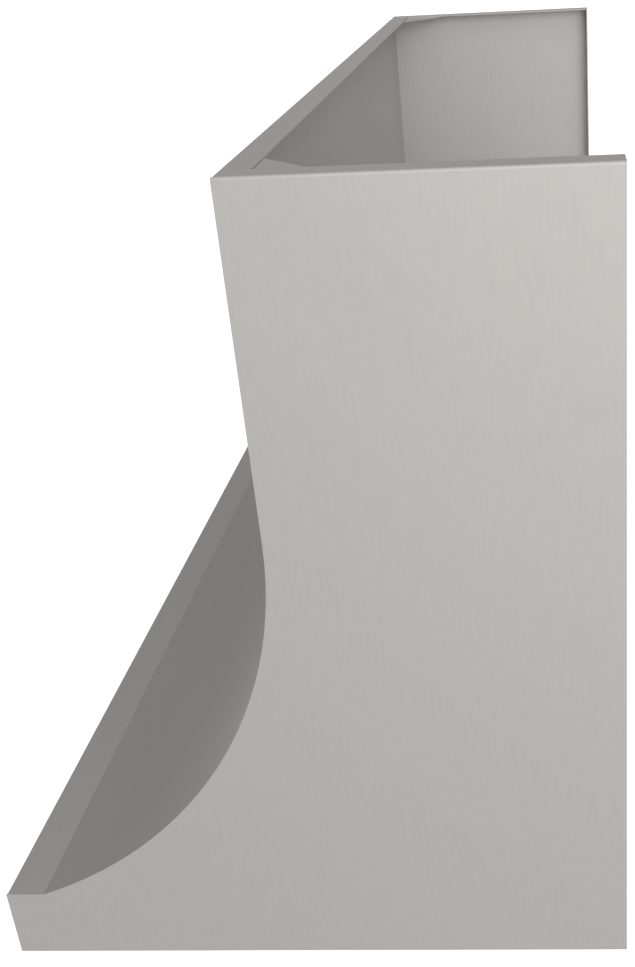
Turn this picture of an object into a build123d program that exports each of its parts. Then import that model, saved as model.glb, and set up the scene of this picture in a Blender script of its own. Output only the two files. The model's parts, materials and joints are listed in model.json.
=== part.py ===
"""Wall-mount range hood with a swept front, its liner, filters, blower, lights and controls.

Units are millimetres. X runs along the hood's width, Y towards the wall, which is the plane Y = 0,
and Z up. The origin is on the wall plane, at mid-width, level with the hood's bottom edge.
"""

from build123d import *
import math
import os

# Casing
inch = 25.4
hood_width = 48 * inch
hood_height = 30 * inch
hood_depth = 24 * inch
neck_depth = 12 * inch
apron_height = 3 * inch
ledge_depth = 1.5 * inch
sweep_radius = 16 * inch
flange_width = 1 * inch
casing_sheet = 1.5
casing_bend = 1.0
side_screw_shares = (0.25, 0.75)
apron_tab = 14.0
gusset_leg = 49.0
gusset_lap = 20.0
gusset_sheet = 1.5
back_margin = 20.0
notch_gap = 2.0

# Plenum top and the rails that take the wall screws
plenum_rise = 12.0
plenum_sheet = 1.2
plenum_flange = 14.0
rail_sheet = 2.0
rail_height = 45.0
rail_depth = 15.0
rail_end_gap = 8.0
upper_rail_drop = 28.0
lower_rail_height = 122.5
stud_spacing = 16 * inch
wall_screw_radius = 3.5
wall_flange_screw_radius = 2.75
wall_flange_screw_margin = 45.0

# Liner, which closes the underside around the filters
liner_sheet = 1.2
liner_bend = 1.0
liner_inset = 32.6
liner_lap_gap = 6.0
console_height = 26.0
console_depth = 77.0
rear_wall_offset = 28.0
rear_shelf_height = 57.0
rear_shelf_depth = 22.6

# Filter bank
filter_count = 4
bank_angle = 17.0
hinge_offset = 75.0
hinge_height = 50.0
sweep_clearance = 13.0
filter_thickness = 20.0
filter_tail = 20.0
filter_front_gap = 2.0
filter_side_gap = 2.0
filter_seat_gap = 0.3
filter_wall = 1.0
filter_lip = 12.0
slat_count = 8
slat_width = 26.0
slat_gap = 8.0
slat_sheet = 0.8
slat_height = 7.0
slat_end_gap = 0.3
pin_radius = 3.0
pin_clearance = 0.05
pin_reach = 1.0
divider_width = 6.0
divider_flange = 9.0
divider_flange_start = 12.0
shelf_width = 12.0
magnet_length = 20.0
magnet_height = 8.0
magnet_sheet = 1.6
magnet_spread = 90.0

# Bail handles of the filters
handle_wire_radius = 2.0
handle_half_width = 32.0
handle_length = 28.0
handle_bend = 5.0
handle_lug_gap = 7.0
handle_lug_sheet = 3.0
handle_lug_size = 8.0
handle_pivot_drop = 4.0
handle_setback = 6.0
handle_clearance = 0.05
handle_overhang = 1.5

# Grease tray and its runners
tray_sheet = 1.0
tray_depth = 44.0
tray_height = 18.0
tray_rear_gap = 1.0
tray_side_gap = 1.0
tray_seat_gap = 0.2
tray_rim = 5.0
runner_leg = 8.0
runner_height = 18.0
runner_length = 380.0

# Lamps
lamp_insets = (180.0, 420.0)
lamp_trim_radius = 35.0
lamp_trim_height = 1.6
lamp_body_radius = 28.8
lamp_body_height = 24.0
lamp_fin_depth = 4.0
lamp_fin_pitch = 5.0
lamp_fin_thickness = 2.0
lamp_lens_radius = 26.0
lamp_lens_thickness = 3.0
lamp_lens_gap = 0.1
lamp_lens_inset = 0.6

# Controls
knob_spacing = 90.0
knob_radius = 19.0
knob_grip_radius = 14.0
knob_skirt_height = 5.0
knob_height = 18.0
knob_gap = 1.5
knob_flutes = 12
knob_flute_radius = 2.0
spindle_radius = 3.0
spindle_clearance = 0.05
spindle_depth = 12.0
spindle_reach = 20.0
bushing_radius = 5.0
bushing_drop = 1.2
switch_size = 36.0
switch_height = 24.0
control_box_width = 190.0
control_box_depth = 58.0
control_box_height = 39.0
box_sheet = 1.0

# Blower
wheel_radius = 95.0
wheel_inner_radius = 80.0
wheel_width = 150.0
wheel_ring = 2.0
wheel_disc = 2.0
blade_count = 40
blade_thickness = 0.9
blade_length = 17.0
blade_pitch_angle = 35.0
blade_fit = 0.05
hub_radius = 13.0
hub_length = 26.0
scroll_sheet = 1.2
scroll_start_radius = 108.0
scroll_step = 12.0
scroll_width = 162.0
scroll_drop = 170.0
outlet_width = 100.0
blower_flange = 18.0
inlet_radius = 77.0
inlet_depth = 8.0
inlet_lip = 6.0
motor_radius = 46.0
motor_length = 84.0
motor_gap = 10.0
motor_cap = 3.0
motor_groove_pitch = 12.0
motor_groove = 2.0
shaft_radius = 4.0
shaft_clearance = 0.05
bracket_sheet = 2.0
bracket_band = 10.0
bracket_arm_width = 14.0
bracket_arms = 4
capacitor_radius = 18.0
capacitor_length = 60.0

# Duct collar and its two backdraft flaps
duct_radius = 4 * inch
duct_clearance = 1.0
collar_sheet = 1.2
collar_height = 70.0
collar_flange = 16.0
rod_radius = 2.5
rod_clearance = 0.05
rod_height = 42.0
flap_sheet = 1.0
flap_edge_gap = 1.4
flap_relief = 4.6
knuckle_wall = 1.05
knuckle_width = 20.0
front_knuckles = 76.0
rear_knuckles = 48.0
stop_width = 16.0
stop_depth = 7.0
stop_height = 1.4
stop_gap = 0.2

# Wiring
junction_width = 100.0
junction_depth = 90.0
junction_height = 45.0
junction_inset = 190.0
junction_gap = 1.5
knockout_radius = 11.1
driver_width = 150.0
driver_depth = 42.0
driver_height = 28.0
driver_inset = 300.0
lead_radius = 1.4
lead_offset = 4.5
cover_tab = 12.0
motor_cable_radius = 4.0
motor_cable_offset = 9.0
motor_cable_drop = 40.0
motor_cable_bend = 18.0
control_cable_radius = 3.0
control_cable_offset = 8.0
control_cable_bend = 14.0
control_cable_angle = 58.0
clip_width = 8.0
clip_wall = 1.5
motor_clip_shares = (0.3, 0.55, 0.8)
control_clip_shares = (0.2, 0.45, 0.7)
cable_tail = 10.0
cable_entry_spread = 25.0

# Fasteners
screw_radius = 2.0
screw_head_radius = 4.0
screw_head_height = 1.6
screw_length = 8.0
screw_side_clearance = 0.2

# Worked out from the sizes above
half_width = hood_width / 2
inner_half = half_width - casing_sheet
front_y = -hood_depth
neck_y = -neck_depth
ledge_y = front_y + ledge_depth
sweep_run = ledge_y - (neck_y - sweep_radius)
sweep_y = neck_y - sweep_radius
sweep_top = apron_height + math.sqrt(sweep_radius**2 - sweep_run**2)
sweep_angle = math.degrees(math.acos(sweep_run / sweep_radius))
inner_sweep_radius = sweep_radius + casing_sheet
corner_radius = casing_sheet + casing_bend
plenum_height = sweep_top + plenum_rise
back_height = plenum_height + plenum_sheet + back_margin
neck_inner_y = neck_y + casing_sheet
blower_y = neck_y / 2

bank_cos = math.cos(math.radians(bank_angle))
bank_sin = math.sin(math.radians(bank_angle))
seat_level = filter_thickness / 2 + filter_seat_gap
seat_top = seat_level + liner_sheet
console_start = front_y + liner_inset
console_end = console_start + console_depth
console_middle = console_start + console_depth / 2
wall_half = half_width - liner_inset
bank_half = wall_half - runner_leg
bay_pitch = (2 * bank_half + divider_width) / filter_count
filter_half = (bay_pitch - divider_width) / 2 - filter_side_gap
divider_positions = [(i - filter_count / 2) * bay_pitch for i in range(1, filter_count)]
filter_positions = [(i - (filter_count - 1) / 2) * bay_pitch for i in range(filter_count)]
rear_wall_y = -rear_wall_offset
lamp_positions = [inset - half_width for inset in lamp_insets]
lamp_positions += [half_width - inset for inset in reversed(lamp_insets)]
driver_x = half_width - driver_inset
junction_x = half_width - junction_inset
motor_cable_x = junction_x - cable_entry_spread
control_cable_x = junction_x + cable_entry_spread

flange_inner = half_width - flange_width
return_front = front_y + flange_width
return_rear = -flange_width
flange_front = front_y + casing_sheet + liner_lap_gap
liner_screw_front = (flange_front + return_front) / 2
liner_screw_side = (flange_inner + inner_half - liner_lap_gap) / 2
liner_screw_rear = (return_rear - casing_sheet - liner_lap_gap / 2) / 2
console_screws = [(x, liner_screw_front) for x in filter_positions]
rear_screws = [(x, liner_screw_rear) for x in filter_positions]
side_screws = [(liner_screw_side, front_y * share) for share in side_screw_shares]
screw_clear_radius = screw_radius + screw_side_clearance


def bank_point(along, above):
    """Point (y, z) that lies this far up the filter bank from its hinge line, and this far above."""
    return (
        -hinge_offset - along * bank_cos + above * bank_sin,
        hinge_height + along * bank_sin + above * bank_cos,
    )


def reach_to_sweep(above, clearance):
    """Distance along the bank at which a point this far above it comes this close to the sweep."""
    y, z = bank_point(0, above)
    step_y, step_z = y - sweep_y, z - sweep_top
    towards = step_y * -bank_cos + step_z * bank_sin
    outside = step_y**2 + step_z**2 - (inner_sweep_radius + clearance) ** 2
    return -towards - math.sqrt(towards**2 - outside)


bank_reach = reach_to_sweep(seat_top, sweep_clearance)
filter_front = bank_reach - filter_front_gap
hinge_y, hinge_z = bank_point(0, 0)

# Local axes of the bank plane are X, down the slope to the rear, and the bank's upward normal.
bank_plane = Plane(
    origin=(0, hinge_y, hinge_z),
    x_dir=(1, 0, 0),
    z_dir=(0, bank_sin, bank_cos),
)
# Local axes of the section plane are X and the bank's upward normal, and it looks up the slope.
bank_section = Plane(
    origin=(0, hinge_y, hinge_z),
    x_dir=(1, 0, 0),
    z_dir=(0, -bank_cos, bank_sin),
)


def block(x, y, z, mode=Mode.ADD):
    """Box between two limits along each axis."""
    with Locations(((x[0] + x[1]) / 2, (y[0] + y[1]) / 2, (z[0] + z[1]) / 2)):
        Box(x[1] - x[0], y[1] - y[0], z[1] - z[0], mode=mode)


def bank_block(x, along, above, mode=Mode.ADD):
    """Box between limits across the bank, up its slope and above it."""
    with Locations(bank_plane):
        with Locations(((x[0] + x[1]) / 2, -(along[0] + along[1]) / 2, (above[0] + above[1]) / 2)):
            Box(x[1] - x[0], along[1] - along[0], above[1] - above[0], mode=mode)


def offset_left(path, distance):
    """Open path moved to its left by a distance, with its corners kept sharp."""
    headings = []
    for (x0, y0), (x1, y1) in zip(path, path[1:]):
        length = math.hypot(x1 - x0, y1 - y0)
        headings.append(((x1 - x0) / length, (y1 - y0) / length))
    moved = []
    for index, (x, y) in enumerate(path):
        before = headings[max(index - 1, 0)]
        after = headings[min(index, len(headings) - 1)]
        bisector_x = -(before[1] + after[1])
        bisector_y = before[0] + after[0]
        scale = 2 * distance / (bisector_x**2 + bisector_y**2)
        moved.append((x + bisector_x * scale, y + bisector_y * scale))
    return moved


def folded_sheet(path, sheet, bend):
    """Closed outline of a folded sheet that lies on the left of its path."""
    radii = []
    for (x0, y0), (x1, y1), (x2, y2) in zip(path, path[1:], path[2:]):
        turn = (x1 - x0) * (y2 - y1) - (y1 - y0) * (x2 - x1)
        radii.append(bend + sheet if turn > 0 else bend)
    far_radii = [bend if radius > bend else bend + sheet for radius in radii]
    far_side = offset_left(path, sheet)
    FilletPolyline(
        *path,
        *reversed(far_side),
        radius=[0, *radii, 0, 0, *reversed(far_radii), 0],
        close=True,
    )


def corner_prism(points, low, high):
    """Prism with this plan outline between two heights, for cutting with."""
    with BuildSketch(Plane.XY.offset(low)) as outline:
        with BuildLine():
            Polyline(*points, close=True)
        make_face()
    return extrude(outline.sketch, amount=high - low, mode=Mode.PRIVATE)


def save(piece, name):
    """Labels a finished piece and writes it to its own file."""
    piece.part.label = name
    export_step(piece.part, f"parts/{name}.step")


os.makedirs("parts", exist_ok=True)

# Side panels, each one sheet with the front's outline, a top flange, a bottom return and a rear flange

for side, side_name in ((1, "right"), (-1, "left")):
    with BuildPart() as side_panel:
        with BuildSketch(Plane.YZ.offset(inner_half)):
            with BuildLine():
                Polyline(
                    (ledge_y, apron_height),
                    (front_y, apron_height),
                    (front_y, 0),
                    (0, 0),
                    (0, hood_height),
                    (neck_y, hood_height),
                    (neck_y, sweep_top),
                )
                CenterArc((sweep_y, sweep_top), sweep_radius, 0, -sweep_angle)
            make_face()
        extrude(amount=casing_sheet)
        with BuildSketch(Plane.XY.offset(hood_height - casing_sheet)):
            with BuildLine():
                Polyline(
                    (inner_half, neck_inner_y),
                    (flange_inner, neck_y + flange_width),
                    (flange_inner, 0),
                    (inner_half, 0),
                    close=True,
                )
            make_face()
        extrude(amount=casing_sheet)
        with BuildSketch():
            with BuildLine():
                Polyline(
                    (inner_half, front_y + casing_sheet),
                    (flange_inner, return_front),
                    (flange_inner, return_rear),
                    (inner_half, -casing_sheet),
                    close=True,
                )
            make_face()
        extrude(amount=casing_sheet)
        block(
            (flange_inner, inner_half),
            (-casing_sheet, 0),
            (back_height + notch_gap, hood_height - casing_sheet),
        )
        fillet(
            side_panel.edges()
            .filter_by(Axis.Y)
            .filter_by_position(Axis.X, half_width - casing_sheet / 2, half_width)
            .group_by(Axis.Z)[-1],
            radius=corner_radius,
        )
        fillet(
            side_panel.edges()
            .filter_by(Axis.Y)
            .filter_by_position(Axis.X, half_width - casing_sheet / 2, half_width)
            .group_by(Axis.Z)[0],
            radius=corner_radius,
        )
        screw_x = (flange_inner + inner_half) / 2
        for z in (
            back_height + wall_flange_screw_margin,
            hood_height - wall_flange_screw_margin,
        ):
            with Locations(Plane((screw_x, 0, z), z_dir=(0, 1, 0))):
                Hole(wall_flange_screw_radius, depth=2 * casing_sheet)
        with Locations(*[(x, y, casing_sheet) for x, y in side_screws]):
            Hole(screw_clear_radius, depth=casing_sheet)
        if side < 0:
            mirror(about=Plane.YZ, mode=Mode.REPLACE)
    save(side_panel, f"side_panel_{side_name}")

# Front panel, from its top flange down the neck and around the sweep to the ledge
tab_bottom = apron_height - apron_tab
tab_inner_y = ledge_y + casing_sheet
tab_inner_z = sweep_top - math.sqrt(inner_sweep_radius**2 - (tab_inner_y - sweep_y) ** 2)
inner_sweep_angle = math.degrees(math.acos((tab_inner_y - sweep_y) / inner_sweep_radius))

with BuildPart() as front_panel:
    with BuildSketch(Plane.YZ.offset(-inner_half)):
        with BuildLine():
            FilletPolyline(
                (neck_y, sweep_top),
                (neck_y, hood_height),
                (neck_y + flange_width, hood_height),
                radius=corner_radius,
            )
            Line(
                (neck_y + flange_width, hood_height),
                (neck_y + flange_width, hood_height - casing_sheet),
            )
            FilletPolyline(
                (neck_y + flange_width, hood_height - casing_sheet),
                (neck_inner_y, hood_height - casing_sheet),
                (neck_inner_y, sweep_top),
                radius=casing_bend,
            )
            CenterArc((sweep_y, sweep_top), inner_sweep_radius, 0, -inner_sweep_angle)
            Polyline(
                (tab_inner_y, tab_inner_z),
                (tab_inner_y, tab_bottom),
                (ledge_y, tab_bottom),
                (ledge_y, apron_height),
            )
            CenterArc((sweep_y, sweep_top), sweep_radius, 0, -sweep_angle)
        make_face()
    extrude(amount=2 * inner_half)
    for side in (1, -1):
        add(
            corner_prism(
                (
                    (side * inner_half, neck_inner_y),
                    (side * flange_inner, neck_y + flange_width),
                    (side * inner_half, neck_y + flange_width),
                ),
                hood_height - casing_sheet,
                hood_height,
            ),
            mode=Mode.SUBTRACT,
        )
save(front_panel, "front_panel")

# Apron with the ledge on top of it
with BuildPart() as apron:
    with BuildSketch(Plane.YZ.offset(-inner_half)):
        with BuildLine():
            folded_sheet(
                [
                    (ledge_y, tab_bottom),
                    (ledge_y, apron_height),
                    (front_y, apron_height),
                    (front_y, 0),
                    (return_front, 0),
                ],
                casing_sheet,
                casing_bend,
            )
        make_face()
    extrude(amount=2 * inner_half)
    for side in (1, -1):
        add(
            corner_prism(
                (
                    (side * inner_half, front_y + casing_sheet),
                    (side * flange_inner, return_front),
                    (side * inner_half, return_front),
                ),
                0,
                casing_sheet,
            ),
            mode=Mode.SUBTRACT,
        )
    with Locations(*[(x, y, casing_sheet) for x, y in console_screws]):
        Hole(screw_clear_radius, depth=casing_sheet)
save(apron, "apron")

# Gussets under the two front corners of the top flange
gusset_corner = flange_inner + gusset_lap
gusset_reach = gusset_leg + 2 * gusset_lap
gusset_front = neck_y + flange_width - gusset_lap
for side, side_name in ((1, "right"), (-1, "left")):
    with BuildPart() as corner_gusset:
        with BuildSketch(Plane.XY.offset(hood_height - casing_sheet - gusset_sheet)):
            with BuildLine():
                Polyline(
                    (side * gusset_corner, gusset_front),
                    (side * (gusset_corner - gusset_reach), gusset_front),
                    (side * gusset_corner, gusset_front + gusset_reach),
                    close=True,
                )
            make_face()
        extrude(amount=gusset_sheet)
    save(corner_gusset, f"corner_gusset_{side_name}")

# Back panel, a pan against the wall
rear_screw_rows = (lower_rail_height, plenum_height - upper_rail_drop)
wall_screw_columns = (-stud_spacing, 0, stud_spacing)
wall_screws = [
    Plane((x, 0, z), z_dir=(0, 1, 0)) for x in wall_screw_columns for z in rear_screw_rows
]
with BuildPart() as back_panel:
    block((-inner_half, inner_half), (-casing_sheet, 0), (0, back_height))
    with BuildSketch():
        with BuildLine():
            Polyline(
                (-inner_half, -casing_sheet),
                (inner_half, -casing_sheet),
                (flange_inner, return_rear),
                (-flange_inner, return_rear),
                close=True,
            )
        make_face()
    extrude(amount=casing_sheet)
    for side in (1, -1):
        inner, outer = sorted((side * inner_half, side * (inner_half - casing_sheet)))
        block((inner, outer), (-rail_depth, -casing_sheet), (flange_width, plenum_height))
    with Locations(*wall_screws):
        Hole(wall_screw_radius, depth=2 * casing_sheet)
    with Locations(*[(x, y, casing_sheet) for x, y in rear_screws]):
        Hole(screw_clear_radius, depth=casing_sheet)
save(back_panel, "back_panel")

# Two rails behind the wall screws
rail_half = inner_half - rail_end_gap
for name, height in zip(("lower_rail", "hanging_rail"), rear_screw_rows):
    low = height - rail_height / 2
    high = height + rail_height / 2
    with BuildPart() as rail:
        with BuildSketch(Plane.YZ.offset(-rail_half)):
            with BuildLine():
                folded_sheet(
                    [
                        (-casing_sheet - rail_depth, low),
                        (-casing_sheet, low),
                        (-casing_sheet, high),
                        (-casing_sheet - rail_depth, high),
                    ],
                    rail_sheet,
                    casing_bend,
                )
            make_face()
        extrude(amount=2 * rail_half)
        with Locations(*[place for place in wall_screws if place.origin.Z == height]):
            Hole(wall_screw_radius, depth=2 * (casing_sheet + rail_sheet))
    save(rail, name)

# Plenum top, a tray with its edges turned up against the casing
wheel_x = outlet_width / 2 - (scroll_step / 2 + scroll_start_radius + 2 * scroll_step)
wheel_z = plenum_height - scroll_drop
outlet_half = outlet_width / 2
scroll_half = scroll_width / 2
cable_y = neck_inner_y + motor_cable_offset
control_y = neck_inner_y + control_cable_offset
plenum_top_z = plenum_height + plenum_sheet
turned_up = plenum_top_z + plenum_flange
blower_screw_y = [blower_y - scroll_half / 2, blower_y + scroll_half / 2]
blower_screw_x = outlet_half + scroll_sheet + blower_flange / 2
blower_screws = [(side * blower_screw_x, y) for side in (-1, 1) for y in blower_screw_y]
collar_radius = duct_radius - duct_clearance
collar_inner = collar_radius - collar_sheet
collar_ring = collar_radius + collar_flange
collar_screw_reach = (collar_radius + collar_ring) / 2 * math.sqrt(0.5)
collar_screws = [
    (i * collar_screw_reach, blower_y + j * collar_screw_reach) for i in (-1, 1) for j in (-1, 1)
]

with BuildPart() as plenum_top:
    block((-inner_half, inner_half), (neck_inner_y, -casing_sheet), (plenum_height, plenum_top_z))
    relief = plenum_sheet + notch_gap
    for side in (1, -1):
        inner, outer = sorted((side * inner_half, side * (inner_half - plenum_sheet)))
        block(
            (inner, outer),
            (neck_inner_y + relief, -casing_sheet - relief),
            (plenum_top_z, turned_up),
        )
    for low, high in (
        (neck_inner_y, neck_inner_y + plenum_sheet),
        (-casing_sheet - plenum_sheet, -casing_sheet),
    ):
        block((-inner_half + relief, inner_half - relief), (low, high), (plenum_top_z, turned_up))
    block(
        (-outlet_half, outlet_half),
        (blower_y - scroll_half, blower_y + scroll_half),
        (plenum_height, plenum_top_z),
        mode=Mode.SUBTRACT,
    )
    with Locations(*[(x, y, plenum_top_z) for x, y in blower_screws + collar_screws]):
        Hole(screw_radius, depth=plenum_sheet)
    with Locations((motor_cable_x, cable_y, plenum_top_z)):
        Hole(motor_cable_radius, depth=plenum_sheet)
    with Locations((control_cable_x, control_y, plenum_top_z)):
        Hole(control_cable_radius, depth=plenum_sheet)
save(plenum_top, "plenum_top")

# Console, the front of the liner, with the lamps and knobs in its flat part
wall_foot = bank_point(bank_reach, -filter_thickness / 2 - filter_front_gap)
wall_head = bank_point(bank_reach, seat_level)
lip_end = bank_point(bank_reach - shelf_width - filter_front_gap, seat_level)
knob_positions = (-knob_spacing / 2, knob_spacing / 2)

with BuildPart() as console_panel:
    with BuildSketch(Plane.YZ.offset(-wall_half)):
        with BuildLine():
            folded_sheet(
                [
                    (flange_front, casing_sheet),
                    (console_start, casing_sheet),
                    (console_start, console_height),
                    (console_end, console_height),
                    wall_foot,
                    wall_head,
                    lip_end,
                ],
                liner_sheet,
                liner_bend,
            )
        make_face()
    extrude(amount=2 * wall_half)
    with Locations(*[(x, console_middle, console_height + liner_sheet) for x in lamp_positions]):
        Hole(lamp_body_radius, depth=liner_sheet)
    with Locations(*[(x, console_middle, console_height + liner_sheet) for x in knob_positions]):
        Hole(bushing_radius, depth=liner_sheet)
    with Locations(*[(x, y, casing_sheet + liner_sheet) for x, y in console_screws]):
        Hole(screw_radius, depth=liner_sheet)
save(console_panel, "console_panel")

# Rear rail of the liner
with BuildPart() as rear_rail:
    with BuildSketch(Plane.YZ.offset(-wall_half)):
        with BuildLine():
            folded_sheet(
                [
                    (rear_wall_y - rear_shelf_depth, rear_shelf_height),
                    (rear_wall_y, rear_shelf_height),
                    (rear_wall_y, casing_sheet),
                    (-casing_sheet - liner_lap_gap / 2, casing_sheet),
                ],
                liner_sheet,
                liner_bend,
            )
        make_face()
    extrude(amount=2 * wall_half)
    with Locations(*[(x, y, casing_sheet + liner_sheet) for x, y in rear_screws]):
        Hole(screw_radius, depth=liner_sheet)
save(rear_rail, "rear_rail")

# Sides of the liner
side_top_rear = bank_point(-filter_tail, seat_top)
side_top_front = bank_point(bank_reach + liner_sheet, seat_top)
for side, side_name in ((1, "right"), (-1, "left")):
    with BuildPart() as liner_side:
        with BuildSketch(Plane.YZ.offset(wall_half)):
            with BuildLine():
                Polyline(
                    (console_start - liner_sheet, casing_sheet),
                    (rear_wall_y + liner_sheet, casing_sheet),
                    (rear_wall_y + liner_sheet, rear_shelf_height + liner_sheet),
                    (side_top_rear[0], rear_shelf_height + liner_sheet),
                    side_top_rear,
                    side_top_front,
                    (console_end - liner_sheet, console_height + liner_sheet),
                    (console_start - liner_sheet, console_height + liner_sheet),
                    close=True,
                )
            make_face()
        extrude(amount=liner_sheet)
        block(
            (wall_half + liner_sheet, inner_half - liner_lap_gap),
            (console_start, rear_wall_y),
            (casing_sheet, casing_sheet + liner_sheet),
        )
        bank_block(
            (bank_half - shelf_width, wall_half),
            (divider_flange_start, bank_reach - shelf_width - filter_front_gap),
            (seat_level, seat_top),
        )
        with Locations(Plane((wall_half, hinge_y, hinge_z), z_dir=(1, 0, 0))):
            Hole(pin_radius + pin_clearance, depth=2 * liner_sheet)
        with Locations(*[(x, y, casing_sheet + liner_sheet) for x, y in side_screws]):
            Hole(screw_radius, depth=liner_sheet)
        if side < 0:
            mirror(about=Plane.YZ, mode=Mode.REPLACE)
    save(liner_side, f"liner_side_{side_name}")

# Dividers, hat sections between the filters that hold the hinge pins
divider_half = divider_width / 2
divider_tail = (hinge_offset - rear_wall_offset) / bank_cos
divider_bottom = -filter_thickness / 2
with BuildPart() as filter_dividers:
    for x in divider_positions:
        with BuildSketch(bank_section.offset(-divider_tail)):
            with BuildLine():
                Polyline(
                    (x - divider_half, seat_level),
                    (x - divider_half, divider_bottom),
                    (x + divider_half, divider_bottom),
                    (x + divider_half, seat_level),
                    (x + divider_half - liner_sheet, seat_level),
                    (x + divider_half - liner_sheet, divider_bottom + liner_sheet),
                    (x - divider_half + liner_sheet, divider_bottom + liner_sheet),
                    (x - divider_half + liner_sheet, seat_level),
                    close=True,
                )
            make_face()
        extrude(amount=divider_tail + bank_reach)
        bank_block(
            (x - divider_half, x + divider_half),
            (bank_reach - liner_bend, bank_reach),
            (seat_level - liner_bend, seat_level),
            mode=Mode.SUBTRACT,
        )
        for side in (1, -1):
            low, high = sorted(
                (side * (divider_half - liner_sheet), side * (divider_half + divider_flange))
            )
            bank_block(
                (x + low, x + high),
                (divider_flange_start, bank_reach - shelf_width - filter_front_gap),
                (seat_level, seat_top),
            )
        with Locations(Plane((x - divider_half, hinge_y, hinge_z), z_dir=(-1, 0, 0))):
            Hole(pin_radius + pin_clearance, depth=2 * divider_width)
    block(
        (-wall_half, wall_half),
        (rear_wall_y, 0),
        (0, rear_shelf_height),
        mode=Mode.SUBTRACT,
    )
save(filter_dividers, "filter_dividers")

# Magnets that hold the front edge of each filter up
with BuildPart() as filter_magnets:
    for x in filter_positions:
        for side in (1, -1):
            bank_block(
                (
                    x + side * magnet_spread - magnet_length / 2,
                    x + side * magnet_spread + magnet_length / 2,
                ),
                (bank_reach - magnet_sheet, bank_reach),
                (-magnet_height / 2, magnet_height / 2),
            )
save(filter_magnets, "filter_magnets")

# Filters, each a channel frame with hinge pins, and a core of two rows of baffles
half_thickness = filter_thickness / 2
pivot_along = filter_front - handle_setback
pivot_above = -half_thickness - handle_pivot_drop
pivot_y, pivot_z = bank_point(pivot_along, pivot_above)
lug_inner = handle_half_width + handle_lug_gap
lug_outer = lug_inner + handle_lug_sheet
slat_pitch = slat_width + slat_gap
core_low = -filter_tail + filter_wall + slat_end_gap
core_high = filter_front - filter_wall - slat_end_gap
core_floor = -half_thickness + filter_wall
core_ceiling = half_thickness - filter_wall


def channel_outline(middle, base, way):
    """Outline of one baffle, a channel whose web lies at this level and whose sides point this way."""
    half = slat_width / 2
    return [
        (middle - half, base),
        (middle + half, base),
        (middle + half, base + way * slat_height),
        (middle + half - slat_sheet, base + way * slat_height),
        (middle + half - slat_sheet, base + way * slat_sheet),
        (middle - half + slat_sheet, base + way * slat_sheet),
        (middle - half + slat_sheet, base + way * slat_height),
        (middle - half, base + way * slat_height),
    ]


for number, x in enumerate(filter_positions, start=1):
    with BuildPart() as filter_frame:
        bank_block(
            (x - filter_half, x + filter_half),
            (-filter_tail, filter_front),
            (-half_thickness, half_thickness),
        )
        bank_block(
            (x - filter_half + filter_wall, x + filter_half - filter_wall),
            (-filter_tail + filter_wall, filter_front - filter_wall),
            (core_floor, core_ceiling),
            mode=Mode.SUBTRACT,
        )
        bank_block(
            (x - filter_half + filter_lip, x + filter_half - filter_lip),
            (-filter_tail + filter_lip, filter_front - filter_lip),
            (-half_thickness, half_thickness),
            mode=Mode.SUBTRACT,
        )
        pin_length = filter_wall + filter_side_gap + liner_sheet + pin_reach
        for side in (1, -1):
            start = x + side * (filter_half - filter_wall)
            past_runner = runner_leg if side * x == filter_positions[-1] else 0
            with Locations(Plane((start, hinge_y, hinge_z), z_dir=(side, 0, 0))):
                Cylinder(
                    pin_radius,
                    pin_length + past_runner,
                    align=(Align.CENTER, Align.CENTER, Align.MIN),
                )
            inner, outer = sorted((side * lug_inner, side * lug_outer))
            bank_block(
                (x + inner, x + outer),
                (pivot_along - handle_lug_size / 2, pivot_along + handle_lug_size / 2),
                (-half_thickness - handle_lug_size, -half_thickness + filter_wall),
            )
            with Locations(Plane((x + outer, pivot_y, pivot_z), z_dir=(1, 0, 0))):
                Hole(handle_wire_radius + handle_clearance, depth=handle_lug_sheet)
    save(filter_frame, f"filter_frame_{number}")

    with BuildPart() as filter_core:
        with BuildSketch(bank_section.offset(core_low)):
            for index in range(slat_count):
                middle = x + (index - (slat_count - 1) / 2) * slat_pitch
                with BuildLine():
                    Polyline(*channel_outline(middle, core_floor, 1), close=True)
                make_face()
            for index in range(slat_count - 1):
                middle = x + (index + 1 - slat_count / 2) * slat_pitch
                with BuildLine():
                    Polyline(*channel_outline(middle, core_ceiling, -1), close=True)
                make_face()
        extrude(amount=core_high - core_low)
        strip_half = (slat_count * slat_pitch - slat_gap) / 2
        for low in (core_low, core_high - filter_lip / 2):
            bank_block(
                (x - strip_half, x + strip_half),
                (low, low + filter_lip / 2),
                (core_floor + slat_height, core_ceiling - slat_height),
            )
    save(filter_core, f"filter_baffles_{number}")

    with BuildPart() as filter_handle:
        stub_end = lug_outer + handle_overhang
        with BuildLine() as wire_path:
            FilletPolyline(
                (x - stub_end, pivot_y, pivot_z),
                (x - handle_half_width, pivot_y, pivot_z),
                (x - handle_half_width, pivot_y, pivot_z - handle_length),
                (x + handle_half_width, pivot_y, pivot_z - handle_length),
                (x + handle_half_width, pivot_y, pivot_z),
                (x + stub_end, pivot_y, pivot_z),
                radius=handle_bend,
            )
        with BuildSketch(Plane((x - stub_end, pivot_y, pivot_z), z_dir=(1, 0, 0))):
            Circle(handle_wire_radius)
        sweep(path=wire_path.line)
    save(filter_handle, f"filter_handle_{number}")

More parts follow.
